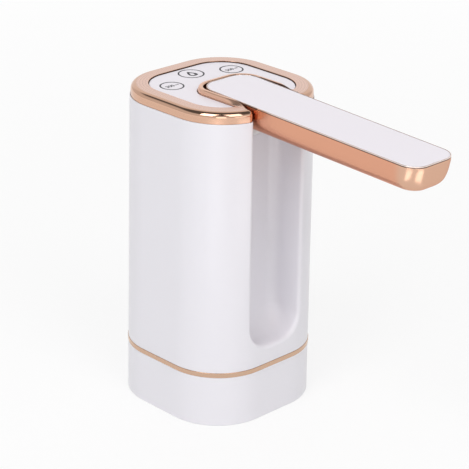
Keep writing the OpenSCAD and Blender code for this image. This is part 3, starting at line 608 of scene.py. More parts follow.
# Platings: colour, roughness, spread of the roughness and strength of the grain
PLATINGS = {
    "rose_gold": ("gold", 0.24, 0.06, 0.015),
    "rose_gold_soft": ("gold_soft", 0.24, 0.06, 0.015),
    "rose_gold_polished": ("gold_soft", 0.09, 0.03, 0.006),
    "rose_gold_rim": ("gold_rim", 0.3, 0.04, 0.01),
    # Darkened as painted shade on the pocket's walls
    "rose_gold_pocket_shade": ("gold_deep", 0.3, 0.04, 0.01),
    # Paled as a painted highlight on the arm's bead
    "rose_gold_bead_highlight": ("gold_pale", 0.22, 0.04, 0.008),
    "tan_gold": ("gold_tan", 0.18, 0.06, 0.015),
}
PLATING_GRAIN = 1800.0
PLATING_TONE = 0.02
# Distances before and after the start of the arm's front corners over which the plating turns softer
TIP_BLEND = (4 * MM, 1 * MM)


def plating(name):
    """Satin metal with a fine grain."""
    tint, roughness, spread, bump = PLATINGS[name]
    return grained(name, finish(tint), roughness, fine=PLATING_GRAIN, spread=spread, bump=bump,
                   tone=PLATING_TONE, metallic=1.0)


def rose_gold():
    """Plating of the arm, which keeps its colour at flat angles and is softer at the tip."""
    material, shader = plating("rose_gold")
    shader.inputs["Specular Tint"].default_value = finish("gold_edge")
    arm = lengths("pump_arm")
    tree = material.node_tree
    corner = joint_place("arm_fold").x + (arm.front - arm.tip_radius) * MM
    before, after = TIP_BLEND
    along = split_axes(tree, object_place(tree))["X"]
    tip = soft_change(tree, along, corner - before, corner + after, 0.0, 1.0)
    plain = shader.inputs["Base Color"].links[0].from_socket
    feed(tree, shader.inputs["Base Color"], mixed(tree, tip, plain, finish("gold_soft")))
    return material


# Turned lines on the ring's top: their pitch and softness, the shades between them and their relief
LINE_PITCH = 1.25 * MM
LINE_SOFTNESS = 0.35
LINE_SHADES = (0.80, 1.03)
LINE_RELIEF = 0.12
# Least roughness of the lines, and what their change of tone adds to it
LINE_ROUGHNESS = 0.2
LINE_ROUGHNESS_SPREAD = 0.16


def rose_gold_turned():
    """Satin plating with fine lines that follow the ring's outline."""
    base = finish("gold_satin")
    material, shader = new_material("rose_gold_turned", base, LINE_ROUGHNESS, 1.0)
    tree = material.node_tree
    lines = group_outputs(tree, "turned_lines", line_group, {"Pitch": LINE_PITCH, "Softness": LINE_SOFTNESS})
    tint = mixed(tree, lines["Line"], *(shade(base, share) for share in LINE_SHADES))
    feed(tree, shader.inputs["Base Color"], tint)
    roughness = math_node(tree, "MULTIPLY_ADD", lines["Tone"], LINE_ROUGHNESS_SPREAD, LINE_ROUGHNESS)
    feed(tree, shader.inputs["Roughness"], roughness)
    add_relief(tree, shader, lines["Line"], LINE_RELIEF)
    return material


def silicone():
    """Milky silicone that lets a little light in."""
    material, shader = grained("silicone", finish("silicone"), 0.5, slow=60.0, bump=0.03)
    shader.inputs["Subsurface Weight"].default_value = 0.25
    shader.inputs["Subsurface Radius"].default_value = (1.5 * MM, 1.5 * MM, 1.5 * MM)
    return material


def seam_shadow():
    """Painted shade: the dull dark of the narrow seams and of the dark lines beside the pocket and the
    panel.
    """
    material, shader = grained("seam_shadow", finish("seam"), 0.7, bump=0.02)
    shader.inputs["Specular IOR Level"].default_value = 0.1
    return material


# Finishes that are the grained material with other values; a colour is given where its name differs
PLAIN_FINISHES = {
    "white_moulding": {"roughness": 0.45, "bump": 0.03, "colour": "inner_white"},
    "printing": {"roughness": 0.5, "bump": 0.02, "tone": 0.05},
    "steel": {"roughness": 0.28, "metallic": 1.0, "fine": 3200.0},
    "black_plastic": {"roughness": 0.42, "bump": 0.04, "colour": "black"},
    "black_rubber": {"roughness": 0.62, "bump": 0.06, "colour": "black"},
    "circuit_board": {"roughness": 0.38, "tone": 0.12, "slow": 220.0, "colour": "board"},
    "copper": {"roughness": 0.3, "metallic": 1.0},
    "iron": {"roughness": 0.5, "metallic": 1.0},
    "bronze": {"roughness": 0.36, "metallic": 1.0},
    "cell": {"roughness": 0.33, "tone": 0.05},
}
# Finishes with a function of their own
SHAPED_FINISHES = {
    "white_shell": white_shell,
    "white_plate": white_plate,
    "rose_gold": rose_gold,
    "rose_gold_turned": rose_gold_turned,
    "silicone": silicone,
    "seam_shadow": seam_shadow,
}


def get_material(name):
    """A finish's material, made the first time that it is asked for."""
    found = bpy.data.materials.get(FINISH_PREFIX + name)
    if found:
        return found
    if name in SHAPED_FINISHES:
        return SHAPED_FINISHES[name]()
    if name in PLATINGS:
        return plating(name)[0]
    options = dict(PLAIN_FINISHES[name])
    return grained(name, finish(options.pop("colour", name)), **options)[0]


# Body

# Faces across half of the back, and across half of the window that is left for the charging slot
BACK_COLUMNS = 8
SLOT_COLUMNS = 6
# Half height of that window, and the round along the slot's edge, in millimetres
SLOT_WINDOW = 5.0
SLOT_LIP = 0.5
# Faces round each lower corner of the channel, and across its lower end
CORNER_STEPS = 16
FLOOR_COLUMNS = 6
# Round along the mouth of the seal's socket in millimetres
SOCKET_ROUND = 0.6
# Round along the trim's edges, and its gap to the walls that it laps over, in millimetres
TRIM_ROUND = 0.2
TRIM_CLEAR = 0.02


def outline_radius(s, z):
    """Corner radius of the body's outline at a height, with its edges rounded over."""
    flare = (s.table_half - s.half) * (s.top - z) / s.top
    edge = np.clip(np.minimum(z - s.low, s.top - z), 0, s.edge_round)
    drop = s.edge_round - np.sqrt(s.edge_round ** 2 - (s.edge_round - edge) ** 2)
    return s.corner + flare - drop


def front_x(s, y, z):
    """Place of the body's front at a point of its front view."""
    corner = s.half - s.corner
    return corner + np.sqrt(outline_radius(s, z) ** 2 - np.maximum(np.abs(y) - corner, 0) ** 2)


def rear_x(s, z):
    """Place of the channel's rear wall at a height."""
    return s.channel_back + s.ramp_out * smooth_step(s.ramp_top, s.channel_low, z)


def body_rows(s, span):
    """Heights of the body's rows, from its top edge down to the corners of the front panel."""
    centre = s.channel_low + s.channel_corner
    slot = s.slot_height + SLOT_WINDOW * np.array([1, 0.5, 0, -0.5, -1])
    return np.concatenate([
        s.top - s.edge_round * (1 - np.cos(quarter(4))),
        np.linspace(s.top - s.edge_round, s.channel_top, 4)[1:],
        np.linspace(s.channel_top, slot[0], 12)[1:-1],
        slot,
        np.linspace(slot[-1], centre, 4)[1:-1],
        centre - span * np.tan(quarter(CORNER_STEPS)[:CORNER_STEPS // 2 + 1]),
    ])


def wrap_points(s, z, half_front):
    """Points round the body at a height, from the front panel's edge round the back to its other edge."""
    corner = s.half - s.corner
    radius = float(outline_radius(s, z))
    side = corner + radius
    start = math.degrees(math.asin((half_front - corner) / radius))
    half = np.vstack([
        arc((corner, corner), radius, start, 90, 16),
        line((corner, side), (-corner, side), (0, 1), 6),
        arc((-corner, corner), radius, 90, 180, 20),
        line((-side, corner), (-side, 0), (-1, 0), BACK_COLUMNS),
    ])[:, :2]
    return raised(np.vstack([half, [(-side, 0)], half[::-1] * [1, -1]]), z)


def channel_view(s, rows, across, down):
    """Front view round the channel, from its top left to its top right.

    The points of a lower corner lie across and down from the corner's middle, and the straight
    stretches go on from the corner's two ends.
    """
    flat = s.channel_half - s.channel_corner
    centre = s.channel_low + s.channel_corner
    sides = rows[rows > centre + TINY]
    left = np.vstack([
        np.column_stack([np.full(len(sides), -flat - across[0]), sides]),
        np.column_stack([-flat - across, centre - down]),
    ])
    floor_y = np.linspace(-flat, flat, FLOOR_COLUMNS + 1)[1:-1]
    low = np.column_stack([floor_y, np.full(len(floor_y), centre - down[-1])])
    return np.vstack([left, low, left[::-1] * [-1, 1]])


def channel_outline(s, grow, rows):
    """Front view of the channel's edge, moved out by a distance."""
    turn = quarter(CORNER_STEPS)
    radius = s.channel_corner + grow
    return channel_view(s, rows, radius * np.cos(turn), radius * np.sin(turn))


def panel_edge(s, span, rows):
    """Front view of the front panel's outer edge, point for point beside channel_outline."""
    turn = quarter(CORNER_STEPS)
    upper = turn <= math.pi / 4
    across = np.where(upper, 1, 1 / np.tan(np.maximum(turn, TINY)))
    down = np.where(upper, np.tan(np.minimum(turn, math.pi / 4)), 1)
    return channel_view(s, rows, span * across, span * down)


def back_skin(skin, s, rows, half_front):
    """Sides and back of the body, with a window for the charging slot."""
    wrap = [skin.loop(wrap_points(s, z, half_front)) for z in rows]
    middle = len(wrap[0]) // 2
    window = [i for i, z in enumerate(rows) if abs(z - s.slot_height) < SLOT_WINDOW + NEAR]
    columns = range(middle - SLOT_COLUMNS, middle + SLOT_COLUMNS)
    for i, (a, b) in enumerate(zip(wrap, wrap[1:])):
        keep = [i not in window[:-1] or j not in columns for j in range(len(a))]
        skin.strip(a, b, closed=False, keep=keep)
    slot_skin(skin, s, wrap, middle, window)


def slot_skin(skin, s, wrap, middle, window):
    """Charging slot in the back wall, with a rounded edge."""
    left, right = middle - SLOT_COLUMNS, middle + SLOT_COLUMNS
    border = [wrap[window[0]][j] for j in range(left, right)]
    border += [wrap[i][right] for i in window[:-1]]
    border += [wrap[window[-1]][j] for j in range(right, left, -1)]
    border += [wrap[i][left] for i in window[:0:-1]]
    core = s.slot_half - s.slot_round
    half = max(abs(v.co.y) for v in border)

    def ring(grow, depth, share=1.0):
        """Loop round the slot, or a share of the way there from the window's border."""
        points = []
        for v in border:
            heart = Vector((0, core * v.co.y / half, s.slot_height))
            ray = Vector((0, v.co.y, v.co.z)) - heart
            edge = heart + ray.normalized() * (s.slot_round + grow)
            point = Vector((0, v.co.y, v.co.z)).lerp(edge, share)
            point.x = depth - front_x(s, 0.0, point.z)
            points.append(point)
        return skin.loop(points)

    loops = [border, ring(SLOT_LIP, 0, 0.5), ring(SLOT_LIP, 0)]
    loops += [ring(grow, depth) for grow, depth in rounding(SLOT_LIP, 4)[::-1][1:]]
    for a, b in zip(loops, loops[1:]):
        skin.strip(a, b)


def foot_skin(skin, s, edge, half_front):
    """Rounded lower edge of the body, all the way round."""
    front_y = edge[np.isclose(edge[:, 1], s.low + s.edge_round, atol=TINY)][:, 0]
    levels = []
    for _, drop in rounding(s.edge_round, 4):
        z = s.low + drop
        front = raised(np.column_stack([front_x(s, front_y, z), front_y]), z)
        levels.append(np.vstack([wrap_points(s, z, half_front), front[1:-1]]))
    skin.loft(levels)


def channel_skin(skin, s, rows, edge):
    """Front panel, the channel's rounded mouth, its walls and its inner fillet; gives the last loop."""
    def front_loop(view, depth):
        """Loop on the body's front, or at a depth behind it."""
        y, z = view[:, 0], view[:, 1]
        return skin.loop(np.column_stack([front_x(s, y, z) - depth, y, z]))

    mouth = channel_outline(s, s.mouth_round, rows)
    loops = [front_loop(edge + (mouth - edge) * t, 0) for t in np.linspace(0, 1, 6)]
    for grow, depth in rounding(s.mouth_round, 6)[::-1][1:]:
        loops.append(front_loop(channel_outline(s, grow, rows), depth))
    open_count = len(loops)

    view = channel_outline(s, 0, rows)
    heights = view[:, 1]
    low_share = smooth_step(s.channel_low + s.channel_corner, s.channel_low, heights)
    fillet = s.channel_fillet + (s.channel_scoop - s.channel_fillet) * low_share
    start = front_x(s, view[:, 0], heights) - s.mouth_round
    end = rear_x(s, heights) + fillet
    for t in np.linspace(0, 1, 5)[1:]:
        loops.append(skin.loop(np.column_stack([start + (end - start) * t, view])))
    one_in = view - channel_outline(s, -1, rows)
    for inset, rise in rounding(fillet, 10)[1:]:
        inner = view - one_in * inset[:, None]
        loops.append(skin.loop(np.column_stack([rear_x(s, inner[:, 1]) + rise, inner])))

    # Above the channel's top the hinge frame takes the place of its walls
    deep = [max(pair) < s.channel_top + NEAR for pair in zip(heights, heights[1:])]
    for i, (a, b) in enumerate(zip(loops, loops[1:])):
        skin.strip(a, b, closed=False, keep=None if i + 1 < open_count else deep)
    return loops[-1], heights


def rear_wall(skin, s, border, heights):
    """Rear wall of the channel, in strips from side to side."""
    count = (len(border) - FLOOR_COLUMNS + 1) // 2
    previous = None
    for i in range(count):
        left, right = border[i], border[-1 - i]
        if i == count - 1:
            between = border[count:-count]
        else:
            between = skin.loop([left.co.lerp(right.co, k / FLOOR_COLUMNS) for k in range(1, FLOOR_COLUMNS)])
        row = [left, *between, right]
        if previous and heights[i] < s.channel_top - NEAR:
            skin.strip(previous, row, closed=False)
        previous = row


def body_skin():
    """White body with the arm channel in its front and the charging slot in its back."""
    s = lengths("pump_body")
    span = s.channel_low + s.channel_corner - s.low - s.edge_round
    half_front = s.channel_half - s.channel_corner + span
    rows = body_rows(s, span)
    edge = panel_edge(s, span, rows)
    skin = Skin()
    back_skin(skin, s, rows, half_front)
    foot_skin(skin, s, edge, half_front)
    border, heights = channel_skin(skin, s, rows, edge)
    rear_wall(skin, s, border, heights)
    for vert in [v for v in skin.bm.verts if not v.link_faces]:
        skin.bm.verts.remove(vert)
    return skin.piece("body_skin", ["white_shell"], "housing", ["body_shell"], wall=s.wall)


def level_loop(s, grow, z):
    """Body outline at a height, moved out by a distance."""
    flare = (s.table_half - s.half) * (s.top - z) / s.top
    return raised(round_square(s.half - s.corner, s.corner + flare + grow)[:, :2], z)


def base_skin():
    """Base over the bottle's neck: outer wall, underside, seal socket and top plate in one closed skin."""
    s = lengths("pump_body")
    outer = [level_loop(s, -inset, drop) for inset, drop in rounding(s.base_round, 6)[::-1]]
    outer += [level_loop(s, 0, z) for z in np.linspace(s.base_round, s.trim_low - s.edge_round, 5)[1:]]
    outer += [level_loop(s, -inset, s.trim_low - drop) for inset, drop in rounding(s.edge_round, 4)[1:]]
    rays = outer[0][:, :2] / np.linalg.norm(outer[0][:, :2], axis=1)[:, None]
    inner = [raised(rays * s.mouth_radius, z) for z in (s.trim_low, s.seat_height)]
    inner += [raised(rays * s.seal_radius, z) for z in (s.seat_height, SOCKET_ROUND)]
    inner.append(raised(rays * (s.seal_radius + SOCKET_ROUND), 0))
    skin = Skin()
    skin.loft(outer + inner + outer[:1])
    return skin.piece("base_skin", ["white_shell"], "housing", ["base_skirt"])


def trim_skin():
    """Thin plated ring between base and body, which laps over both."""
    s = lengths("pump_body")
    low, high = s.trim_low - s.trim_lap, s.low + s.trim_lap
    steps = rounding(TRIM_ROUND, 4)
    levels = [level_loop(s, -s.wall, s.trim_low)]
    levels += [level_loop(s, TRIM_CLEAR, z) for z in (s.trim_low, low)]
    levels += [level_loop(s, s.trim_proud - inset, low + drop) for inset, drop in steps[::-1]]
    levels += [level_loop(s, s.trim_proud - inset, high - drop) for inset, drop in steps]
    levels += [level_loop(s, TRIM_CLEAR, z) for z in (high, s.low)]
    levels.append(level_loop(s, -s.wall, s.low))
    skin = Skin()
    skin.loft(levels + levels[:1])
    return skin.piece("trim_skin", ["tan_gold"], "housing", ["trim_ring"])


# Top ring and touch panel

# The ring's finishes, and the names of their numbers; the seam's dark and the darkened pocket plating are
# painted shade
RING_FINISHES = ("rose_gold_soft", "rose_gold_polished", "rose_gold_turned", "seam_shadow", "rose_gold_pocket_shade",
                 "rose_gold_rim")
RING_SIDE, RING_EDGE, RING_TOP, RING_SHADE_LINE, RING_POCKET_SHADE, RING_RIM = range(len(RING_FINISHES))
# Distances behind the ring's front in millimetres: where the rim's edge turns into the ring's wider
# round, and where the rim comes down to the ring's top
EDGE_FADE = (9, 2)
RIM_FADE = (13, 4)
# Reach of the pocket's finishes behind its rear wall, and least rise beside the painted shade line, in
# millimetres
POCKET_MARGIN = 1
SHADE_LINE_RISE = 0.2
# The rim's section: its loops and its level part in shares of its width, and the power of its roll down
RIM_STEPS = (0, 0.2, 0.4, 0.52, 0.64, 0.74, 0.83, 0.9, 0.95, 0.985, 1)
RIM_LEVEL = 0.4
RIM_ROLL = 2.5


def end_circle(centre, radius, y, small):
    """Middle of the small circle inside a larger one that also touches a line along X."""
    cy = y + small
    return np.array([centre + math.sqrt((radius - small) ** 2 - (cy - centre) ** 2), cy])


def arched_path(s, body, half, pocket_grow, tip):
    """Path of an arch: a square with round corners, open to the front by the pocket."""
    corner = body.half - body.corner
    radius = half - corner
    rear = s.pocket_rear - pocket_grow
    heart = (s.pocket_rear + s.pocket_radius, s.pocket_half - s.pocket_radius)
    side = s.pocket_half + pocket_grow
    end = end_circle(corner, radius, side, tip)
    angle = math.degrees(math.atan2(end[1] - corner, end[0] - corner))
    half_path = np.vstack([
        line((rear, 0), (rear, heart[1]), (1, 0), 6),
        arc(heart, s.pocket_radius + pocket_grow, 180, 90, 18, -1),
        line((heart[0], side), (end[0], side), (0, -1), 14),
        arc(end, tip, -90, angle, 14),
        arc((corner, corner), radius, angle, 90, 18),
        line((corner, half), (-corner, half), (0, 1), 10),
        arc((-corner, corner), radius, 90, 180, 20),
        line((-half, corner), (-half, 0), (-1, 0), 6),
    ])
    return both_sides(half_path, (-half, 0, -1, 0))


def panel_path(s, body):
    """Path of the ring's inner edge, round the touch panel."""
    return arched_path(s, body, s.ring_half - s.ring_width, s.rim_width, s.horn_radius)


def rolled(t):
    """Height of the rim's section, level at first and rolled down to nothing at its outer edge."""
    return math.sqrt(1 - (max(0, t - RIM_LEVEL) / (1 - RIM_LEVEL)) ** RIM_ROLL)


def ring_skin():
    """Plated ring: satin side, polished edge, a turned top and a raised rim round the pocket."""
    s, body = lengths("pump_top"), lengths("pump_body")
    path, hole = arched_path(s, body, s.ring_half, 0, s.tip_radius), panel_path(s, body)
    along = path[:, 0]

    def by_pocket(margin):
        """Says which points of the path lie by the pocket."""
        return (along > s.pocket_rear - POCKET_MARGIN) & (np.abs(path[:, 1]) < s.pocket_half + margin)

    def fade(start, end):
        """Soft step between two distances behind the ring's front."""
        return smooth_step(s.ring_half - start, s.ring_half - end, along)

    rim_edge = s.rim_round + (s.ring_round - s.rim_round) * fade(*EDGE_FADE)
    edge = np.where(by_pocket(s.tip_radius), rim_edge, s.ring_round)
    rise = s.rim_rise * by_pocket(NEAR) * (1 - fade(*RIM_FADE))
    pocket = by_pocket(s.tip_radius / 2)
    # Painted shade line: the pocket's far wall and edge, where the rim stands high
    far = pocket & (along > s.line_start) & (path[:, 1] > 0) & (rise > SHADE_LINE_RISE)

    # Outer side and its rounded edge; on the pocket's far side the wall and edge are painted dark as a shade
    # line
    skin = Skin()
    foot = s.foot_round
    side = [raised(moved(path, -inset), body.top + drop) for inset, drop in rounding(foot, 3)[::-1]]
    side_top = s.ring_top + rise - edge
    side += [raised(path[:, :2], (side_top + body.top + foot) / 2), raised(path[:, :2], side_top)]
    # The pocket's walls are darker plating as painted shade, and its far wall is painted dark as a shade
    # line
    wall = [RING_SHADE_LINE if f else RING_POCKET_SHADE if p else RING_SIDE for f, p in zip(far, pocket)]
    first, _ = skin.loft(side, material=wall)
    skin.loft(rounded_top(path, edge, s.ring_top + rise, 10),
              material=[RING_SHADE_LINE if f else RING_EDGE for f in far])

    # Inner side and its rounded edge; beside the panel the wall is painted dark as a shade line
    turn = s.hole_round
    inner = [raised(hole[:, :2], z) for z in (body.top, s.panel_top, s.ring_top - turn)]
    inner_low, _ = skin.loft(inner, material=[RING_EDGE if p else RING_SHADE_LINE for p in pocket])
    skin.loft([raised(moved(hole, inset), s.ring_top - drop) for inset, drop in rounding(turn, 5)],
              material=RING_EDGE)

    # Flat top, and over the rim a level that rolls down to the panel
    outer, beside_panel = moved(path, -edge), moved(hole, turn)
    on_rim = np.maximum(rise, np.roll(rise, -1)) > s.rim_rise / 4
    skin.loft([raised(outer + (beside_panel - outer) * t, s.ring_top + rise * rolled(t)) for t in RIM_STEPS],
              material=[RING_RIM if r else RING_TOP for r in on_rim])
    skin.fill(first, inner_low)
    return skin.piece("ring_skin", RING_FINISHES, "housing", ["top_ring"])


def panel_skin():
    """Touch panel inside the ring."""
    s = lengths("pump_top")
    path = panel_path(s, lengths("pump_body"))
    levels = [raised(moved(path, -s.panel_gap), s.panel_low)]
    levels += rounded_top(path, s.panel_round, s.panel_top, 4, s.panel_gap)
    skin = Skin()
    first, last = skin.loft(levels)
    skin.fill(first)
    skin.fill(last)
    return skin.piece("panel_skin", ["white_plate"], "housing", ["touch_panel"])


# Printed keys

# Drop in the rear key: its size and the size of its gleam in shares of the key's radius, and the widths of
# their lines in shares of the other lines' width
DROP_SIZE = 0.45
DROP_LINE = 1.4
GLEAM_SIZE = 0.24
GLEAM_LINE = 0.8
# The drop's outline: how it tapers, its width and its shift in shares of its size
DROP_TAPER = 1.5
DROP_WIDTH = 0.95
DROP_SHIFT = 0.1
# The gleam's arc in degrees, and its shift in shares of its size
GLEAM_ARC = (20, 110)
GLEAM_SHIFT = 0.4
# Number in each side key, and the key's side of the middle
KEY_NUMBERS = {"left": ("300", -1), "right": ("500", 1)}
# Size of the writing, its place along the line from the key's middle and its added weight, in millimetres
NUMBER_PRINT = (3.0, -1.0, 0.06)
UNIT_PRINT = (2.1, 2.7, 0.0)


def stroke(skin, points, width, low, high, closed):
    """Flat printed line along points, as a closed strip."""
    points = np.array(points, float)
    ahead = np.roll(points, -1, 0) - np.roll(points, 1, 0)
    if not closed:
        ahead[0], ahead[-1] = points[1] - points[0], points[-1] - points[-2]
    across = np.column_stack([-ahead[:, 1], ahead[:, 0]]) / np.linalg.norm(ahead, axis=1)[:, None]
    left, right = points + across * width / 2, points - across * width / 2
    levels = [raised(left, low), raised(left, high), raised(right, high), raised(right, low)]
    loops = [skin.loop(level) for level in levels]
    for a, b in zip(loops, loops[1:] + loops[:1]):
        skin.strip(a, b, closed)
    if not closed:
        for end in (0, -1):
            skin.bm.faces.new([loop[end] for loop in loops])


def drop_outline(centre, size):
    """Outline of a water drop whose point looks back along the arm."""
    t = np.linspace(0, 2 * math.pi, 48, endpoint=False)
    along = centre + size * (DROP_SHIFT - np.cos(t))
    return np.column_stack([along, size * DROP_WIDTH * np.sin(t) * np.sin(t / 2) ** DROP_TAPER])


def key_marks():
    """Printed rings of the three keys, and the drop in the rear one."""
    s = lengths("pump_top")
    low, high = s.panel_top - s.print_proud, s.panel_top + s.print_proud
    skin = Skin()
    keys = [(s.key_x, side * s.key_y, s.key_radius) for side in (1, -1)] + [(s.drop_x, 0, s.drop_radius)]
    for x, y, radius in keys:
        stroke(skin, (x, y) + radius * unit_circle(72), s.line_width, low, high, True)
    drop = drop_outline(s.drop_x, s.drop_radius * DROP_SIZE)
    stroke(skin, drop, s.line_width * DROP_LINE, low, high, True)
    angles = np.radians(np.linspace(*GLEAM_ARC, 10))
    gleam = np.column_stack([GLEAM_SHIFT + np.cos(angles), np.sin(angles)]) * s.drop_radius * GLEAM_SIZE
    stroke(skin, (s.drop_x, 0) + gleam, s.line_width * GLEAM_LINE, low, high, False)
    return skin.piece("key_marks", ["printing"], "housing")


def key_text(name, text, side, size, along, bold):
    """Plain writing in a side key, read from the front of the pump."""
    s = lengths("pump_top")
    curve = bpy.data.curves.new(name, "FONT")
    curve.body = text
    curve.align_x, curve.align_y = "CENTER", "CENTER"
    curve.size = size * MM
    curve.offset = bold * MM
    curve.extrude = s.print_proud * MM
    writing = new_object(name + "_curve", curve)
    bpy.context.view_layer.update()
    mesh = bpy.data.meshes.new_from_object(writing.evaluated_get(bpy.context.evaluated_depsgraph_get()))
    bpy.data.objects.remove(writing)
    bpy.data.curves.remove(curve)
    place = Vector((s.key_x, side * s.key_y + along, s.panel_top)) * MM
    mesh.transform(Matrix.Translation(place) @ Matrix.Rotation(math.pi / 2, 4, "Z"))
    mesh.materials.clear()
    mesh.materials.append(get_material("printing"))
    mesh.name = name
    return dress(new_object(name, mesh), "housing")


def key_texts():
    """A number and its unit in each side key."""
    for name, (number, side) in KEY_NUMBERS.items():
        key_text("key_number_" + name, number, side, *NUMBER_PRINT)
        key_text("key_unit_" + name, "ml", side, *UNIT_PRINT)


# Spout arm, in its own frame: the hinge axis is the origin, and +X runs to the tip

# Finishes of the trough and of the cover, and the names of their numbers; the seam and the cover's sides are
# painted shade, the bead a painted highlight
TROUGH_FINISHES = ("rose_gold", "seam_shadow", "rose_gold_bead_highlight")
TROUGH_SIDE, TROUGH_SEAM_SHADE, TROUGH_BEAD_HIGHLIGHT = range(len(TROUGH_FINISHES))
COVER_FINISHES = ("white_plate", "seam_shadow")
COVER_TOP, COVER_SIDE_SHADE = range(len(COVER_FINISHES))
# Bevel along the seam and the bead's inner edge, gap under the cover, and round along the knuckle's
# ends, in millimetres
SEAM_SOFT = 0.08
COVER_CLEAR = 0.05
KNUCKLE_ROUND = 0.4
# Least plan radius of the trough's front corners in millimetres, and how fast the radius shrinks as the
# sides draw in towards the underside
LEAST_CORNER = 1.0
CORNER_SHRINK = 0.25


def arm_frame(s):
    """Place of the raised arm's own frame, in millimetres."""
    return Matrix.Translation(joint_place("arm_fold") / MM) @ Matrix.Rotation(s.droop, 4, "Y")


def arm_path(s, inset, front, front_radius):
    """Plan of the arm at one level, with its sides moved in."""
    def half(x):
        """Half of the arm's width at a place along it."""
        return s.root_half - (s.root_half - s.tip_half) * x / s.front - inset

    rear_middle = s.rear + s.rear_radius
    rear_radius = s.rear_radius - inset
    rear_end = rear_middle - rear_radius
    rear_y = half(rear_middle) - rear_radius
    front_middle = front - front_radius
    front_y = half(front_middle) - front_radius
    half_path = np.vstack([
        line((rear_end, 0), (rear_end, rear_y), (-1, 0), 4),
        arc((rear_middle, rear_y), rear_radius, 180, 90, 14),
        line((rear_middle, half(rear_middle)), (front_middle, half(front_middle)), (0, 1), 26),
        arc((front_middle, front_y), front_radius, 90, 0, 16),
        line((front, front_y), (front, 0), (1, 0), 6),
    ])
    return both_sides(half_path, (front, 0, 1, 0))


def lean_front(s, z):
    """Place of the arm's front at a height: upright at its top, leaning back below, with a round toe."""
    flat_low = s.rise - s.tip_flat
    share = min(1.0, (z - s.low) / (flat_low - s.low))
    drop = min(max(s.low + s.toe_round - z, 0.0), s.toe_round)
    toe = s.toe_round - math.sqrt(s.toe_round ** 2 - drop ** 2)
    return s.front - s.lean_back * (1 - share) - toe


def trough_level(s, z, thick=0.0):
    """Outer form of the trough at a height, or its inner form for a wall's thickness."""
    radius = s.edge_radius - thick
    drop = min(max(s.low + s.edge_radius - z, 0.0), radius)
    inset = thick + radius - math.sqrt(radius ** 2 - drop ** 2)
    front = lean_front(s, max(z - thick, s.low)) - thick
    corner = max(LEAST_CORNER, s.tip_radius - thick - CORNER_SHRINK * (inset - thick))
    return raised(arm_path(s, inset, front, corner)[:, :2], z)


def trough_skin():
    """Plated trough of the arm: a bead painted pale as a highlight over a seam painted dark as shade at its
    top, and a hole for the nozzle.
    """
    s = lengths("pump_arm")
    top = arm_path(s, 0, s.front, s.tip_radius)
    turn_z = s.low + s.edge_radius
    inner_radius = s.edge_radius - s.wall
    seam_top = s.rise - s.bead
    seam_low = seam_top - s.seam

    def rim(inset, z):
        """Loop of the arm's upper edge, moved in."""
        return raised(moved(top, -inset), z)

    # Outer side up to the seam
    skin = Skin()
    heights = [turn_z - s.edge_radius * math.cos(t) for t in quarter(12)]
    heights += list(np.linspace(turn_z, s.rise - s.tip_flat, 5)[1:])
    side = [trough_level(s, z) for z in heights]
    side += [rim(0, seam_low - SEAM_SOFT), rim(SEAM_SOFT, seam_low)]
    low, _ = skin.loft(side, material=TROUGH_SIDE)

    # Seam, which is as deep as it is high and painted dark as shade, and the bead over it, painted pale as a
    # highlight
    seam = [rim(SEAM_SOFT, seam_low), rim(s.seam, seam_low), rim(s.seam, seam_top), rim(SEAM_SOFT, seam_top)]
    skin.loft(seam, material=TROUGH_SEAM_SHADE)
    bead = [rim(SEAM_SOFT, seam_top), rim(0, seam_top + SEAM_SOFT)]
    bead += rounded_top(top, s.bead_round, s.rise, 6)
    bead += [rim(s.bead_width - SEAM_SOFT, s.rise), rim(s.bead_width, s.rise - SEAM_SOFT)]
    skin.loft(bead, material=TROUGH_BEAD_HIGHLIGHT)

    # Inner side
    ledge = s.rise - s.cover - COVER_CLEAR
    heights = list(np.linspace(ledge, turn_z, 4)[:-1])
    heights += [turn_z - inner_radius * math.sin(t) for t in quarter(6)]
    inner = [rim(s.bead_width, s.rise - SEAM_SOFT), rim(s.bead_width, ledge)]
    inner += [trough_level(s, z, s.wall) for z in heights]
    _, floor_loop = skin.loft(inner, material=TROUGH_SIDE)

    # Underside and inner floor, with the nozzle's hole
    hole = (s.nozzle_x, 0) + s.nozzle_radius * unit_circle(40)
    hole_low, hole_top = skin.loft([raised(hole, z) for z in (s.low, turn_z - inner_radius)])
    skin.fill(low, hole_low)
    skin.fill(floor_loop, hole_top)
    skin.place(arm_frame(s))
    return skin.piece("trough_skin", TROUGH_FINISHES, "spout_arm", ["arm_trough"])


def knuckle_skin():
    """Hinge knuckle under the arm, with the two pin bores."""
    s = lengths("pump_arm")
    edge, end = KNUCKLE_ROUND, s.knuckle_half
    profile = [(s.pin_radius, end - s.pin_depth), (s.pin_radius, end - edge), (s.pin_radius + edge, end)]
    profile += [(s.knuckle_radius - inset, end - drop) for inset, drop in rounding(edge, 4)[::-1]]
    profile += [(r, -y) for r, y in reversed(profile)]
    x, z = unit_circle(64).T
    skin = Skin()
    first, last = skin.loft([np.column_stack([r * x, np.full(len(x), y), r * z]) for r, y in profile])
    skin.bm.faces.new(first)
    skin.bm.faces.new(last)
    skin.place(arm_frame(s))
    return skin.piece("knuckle_skin", ["white_moulding"], "spout_arm")


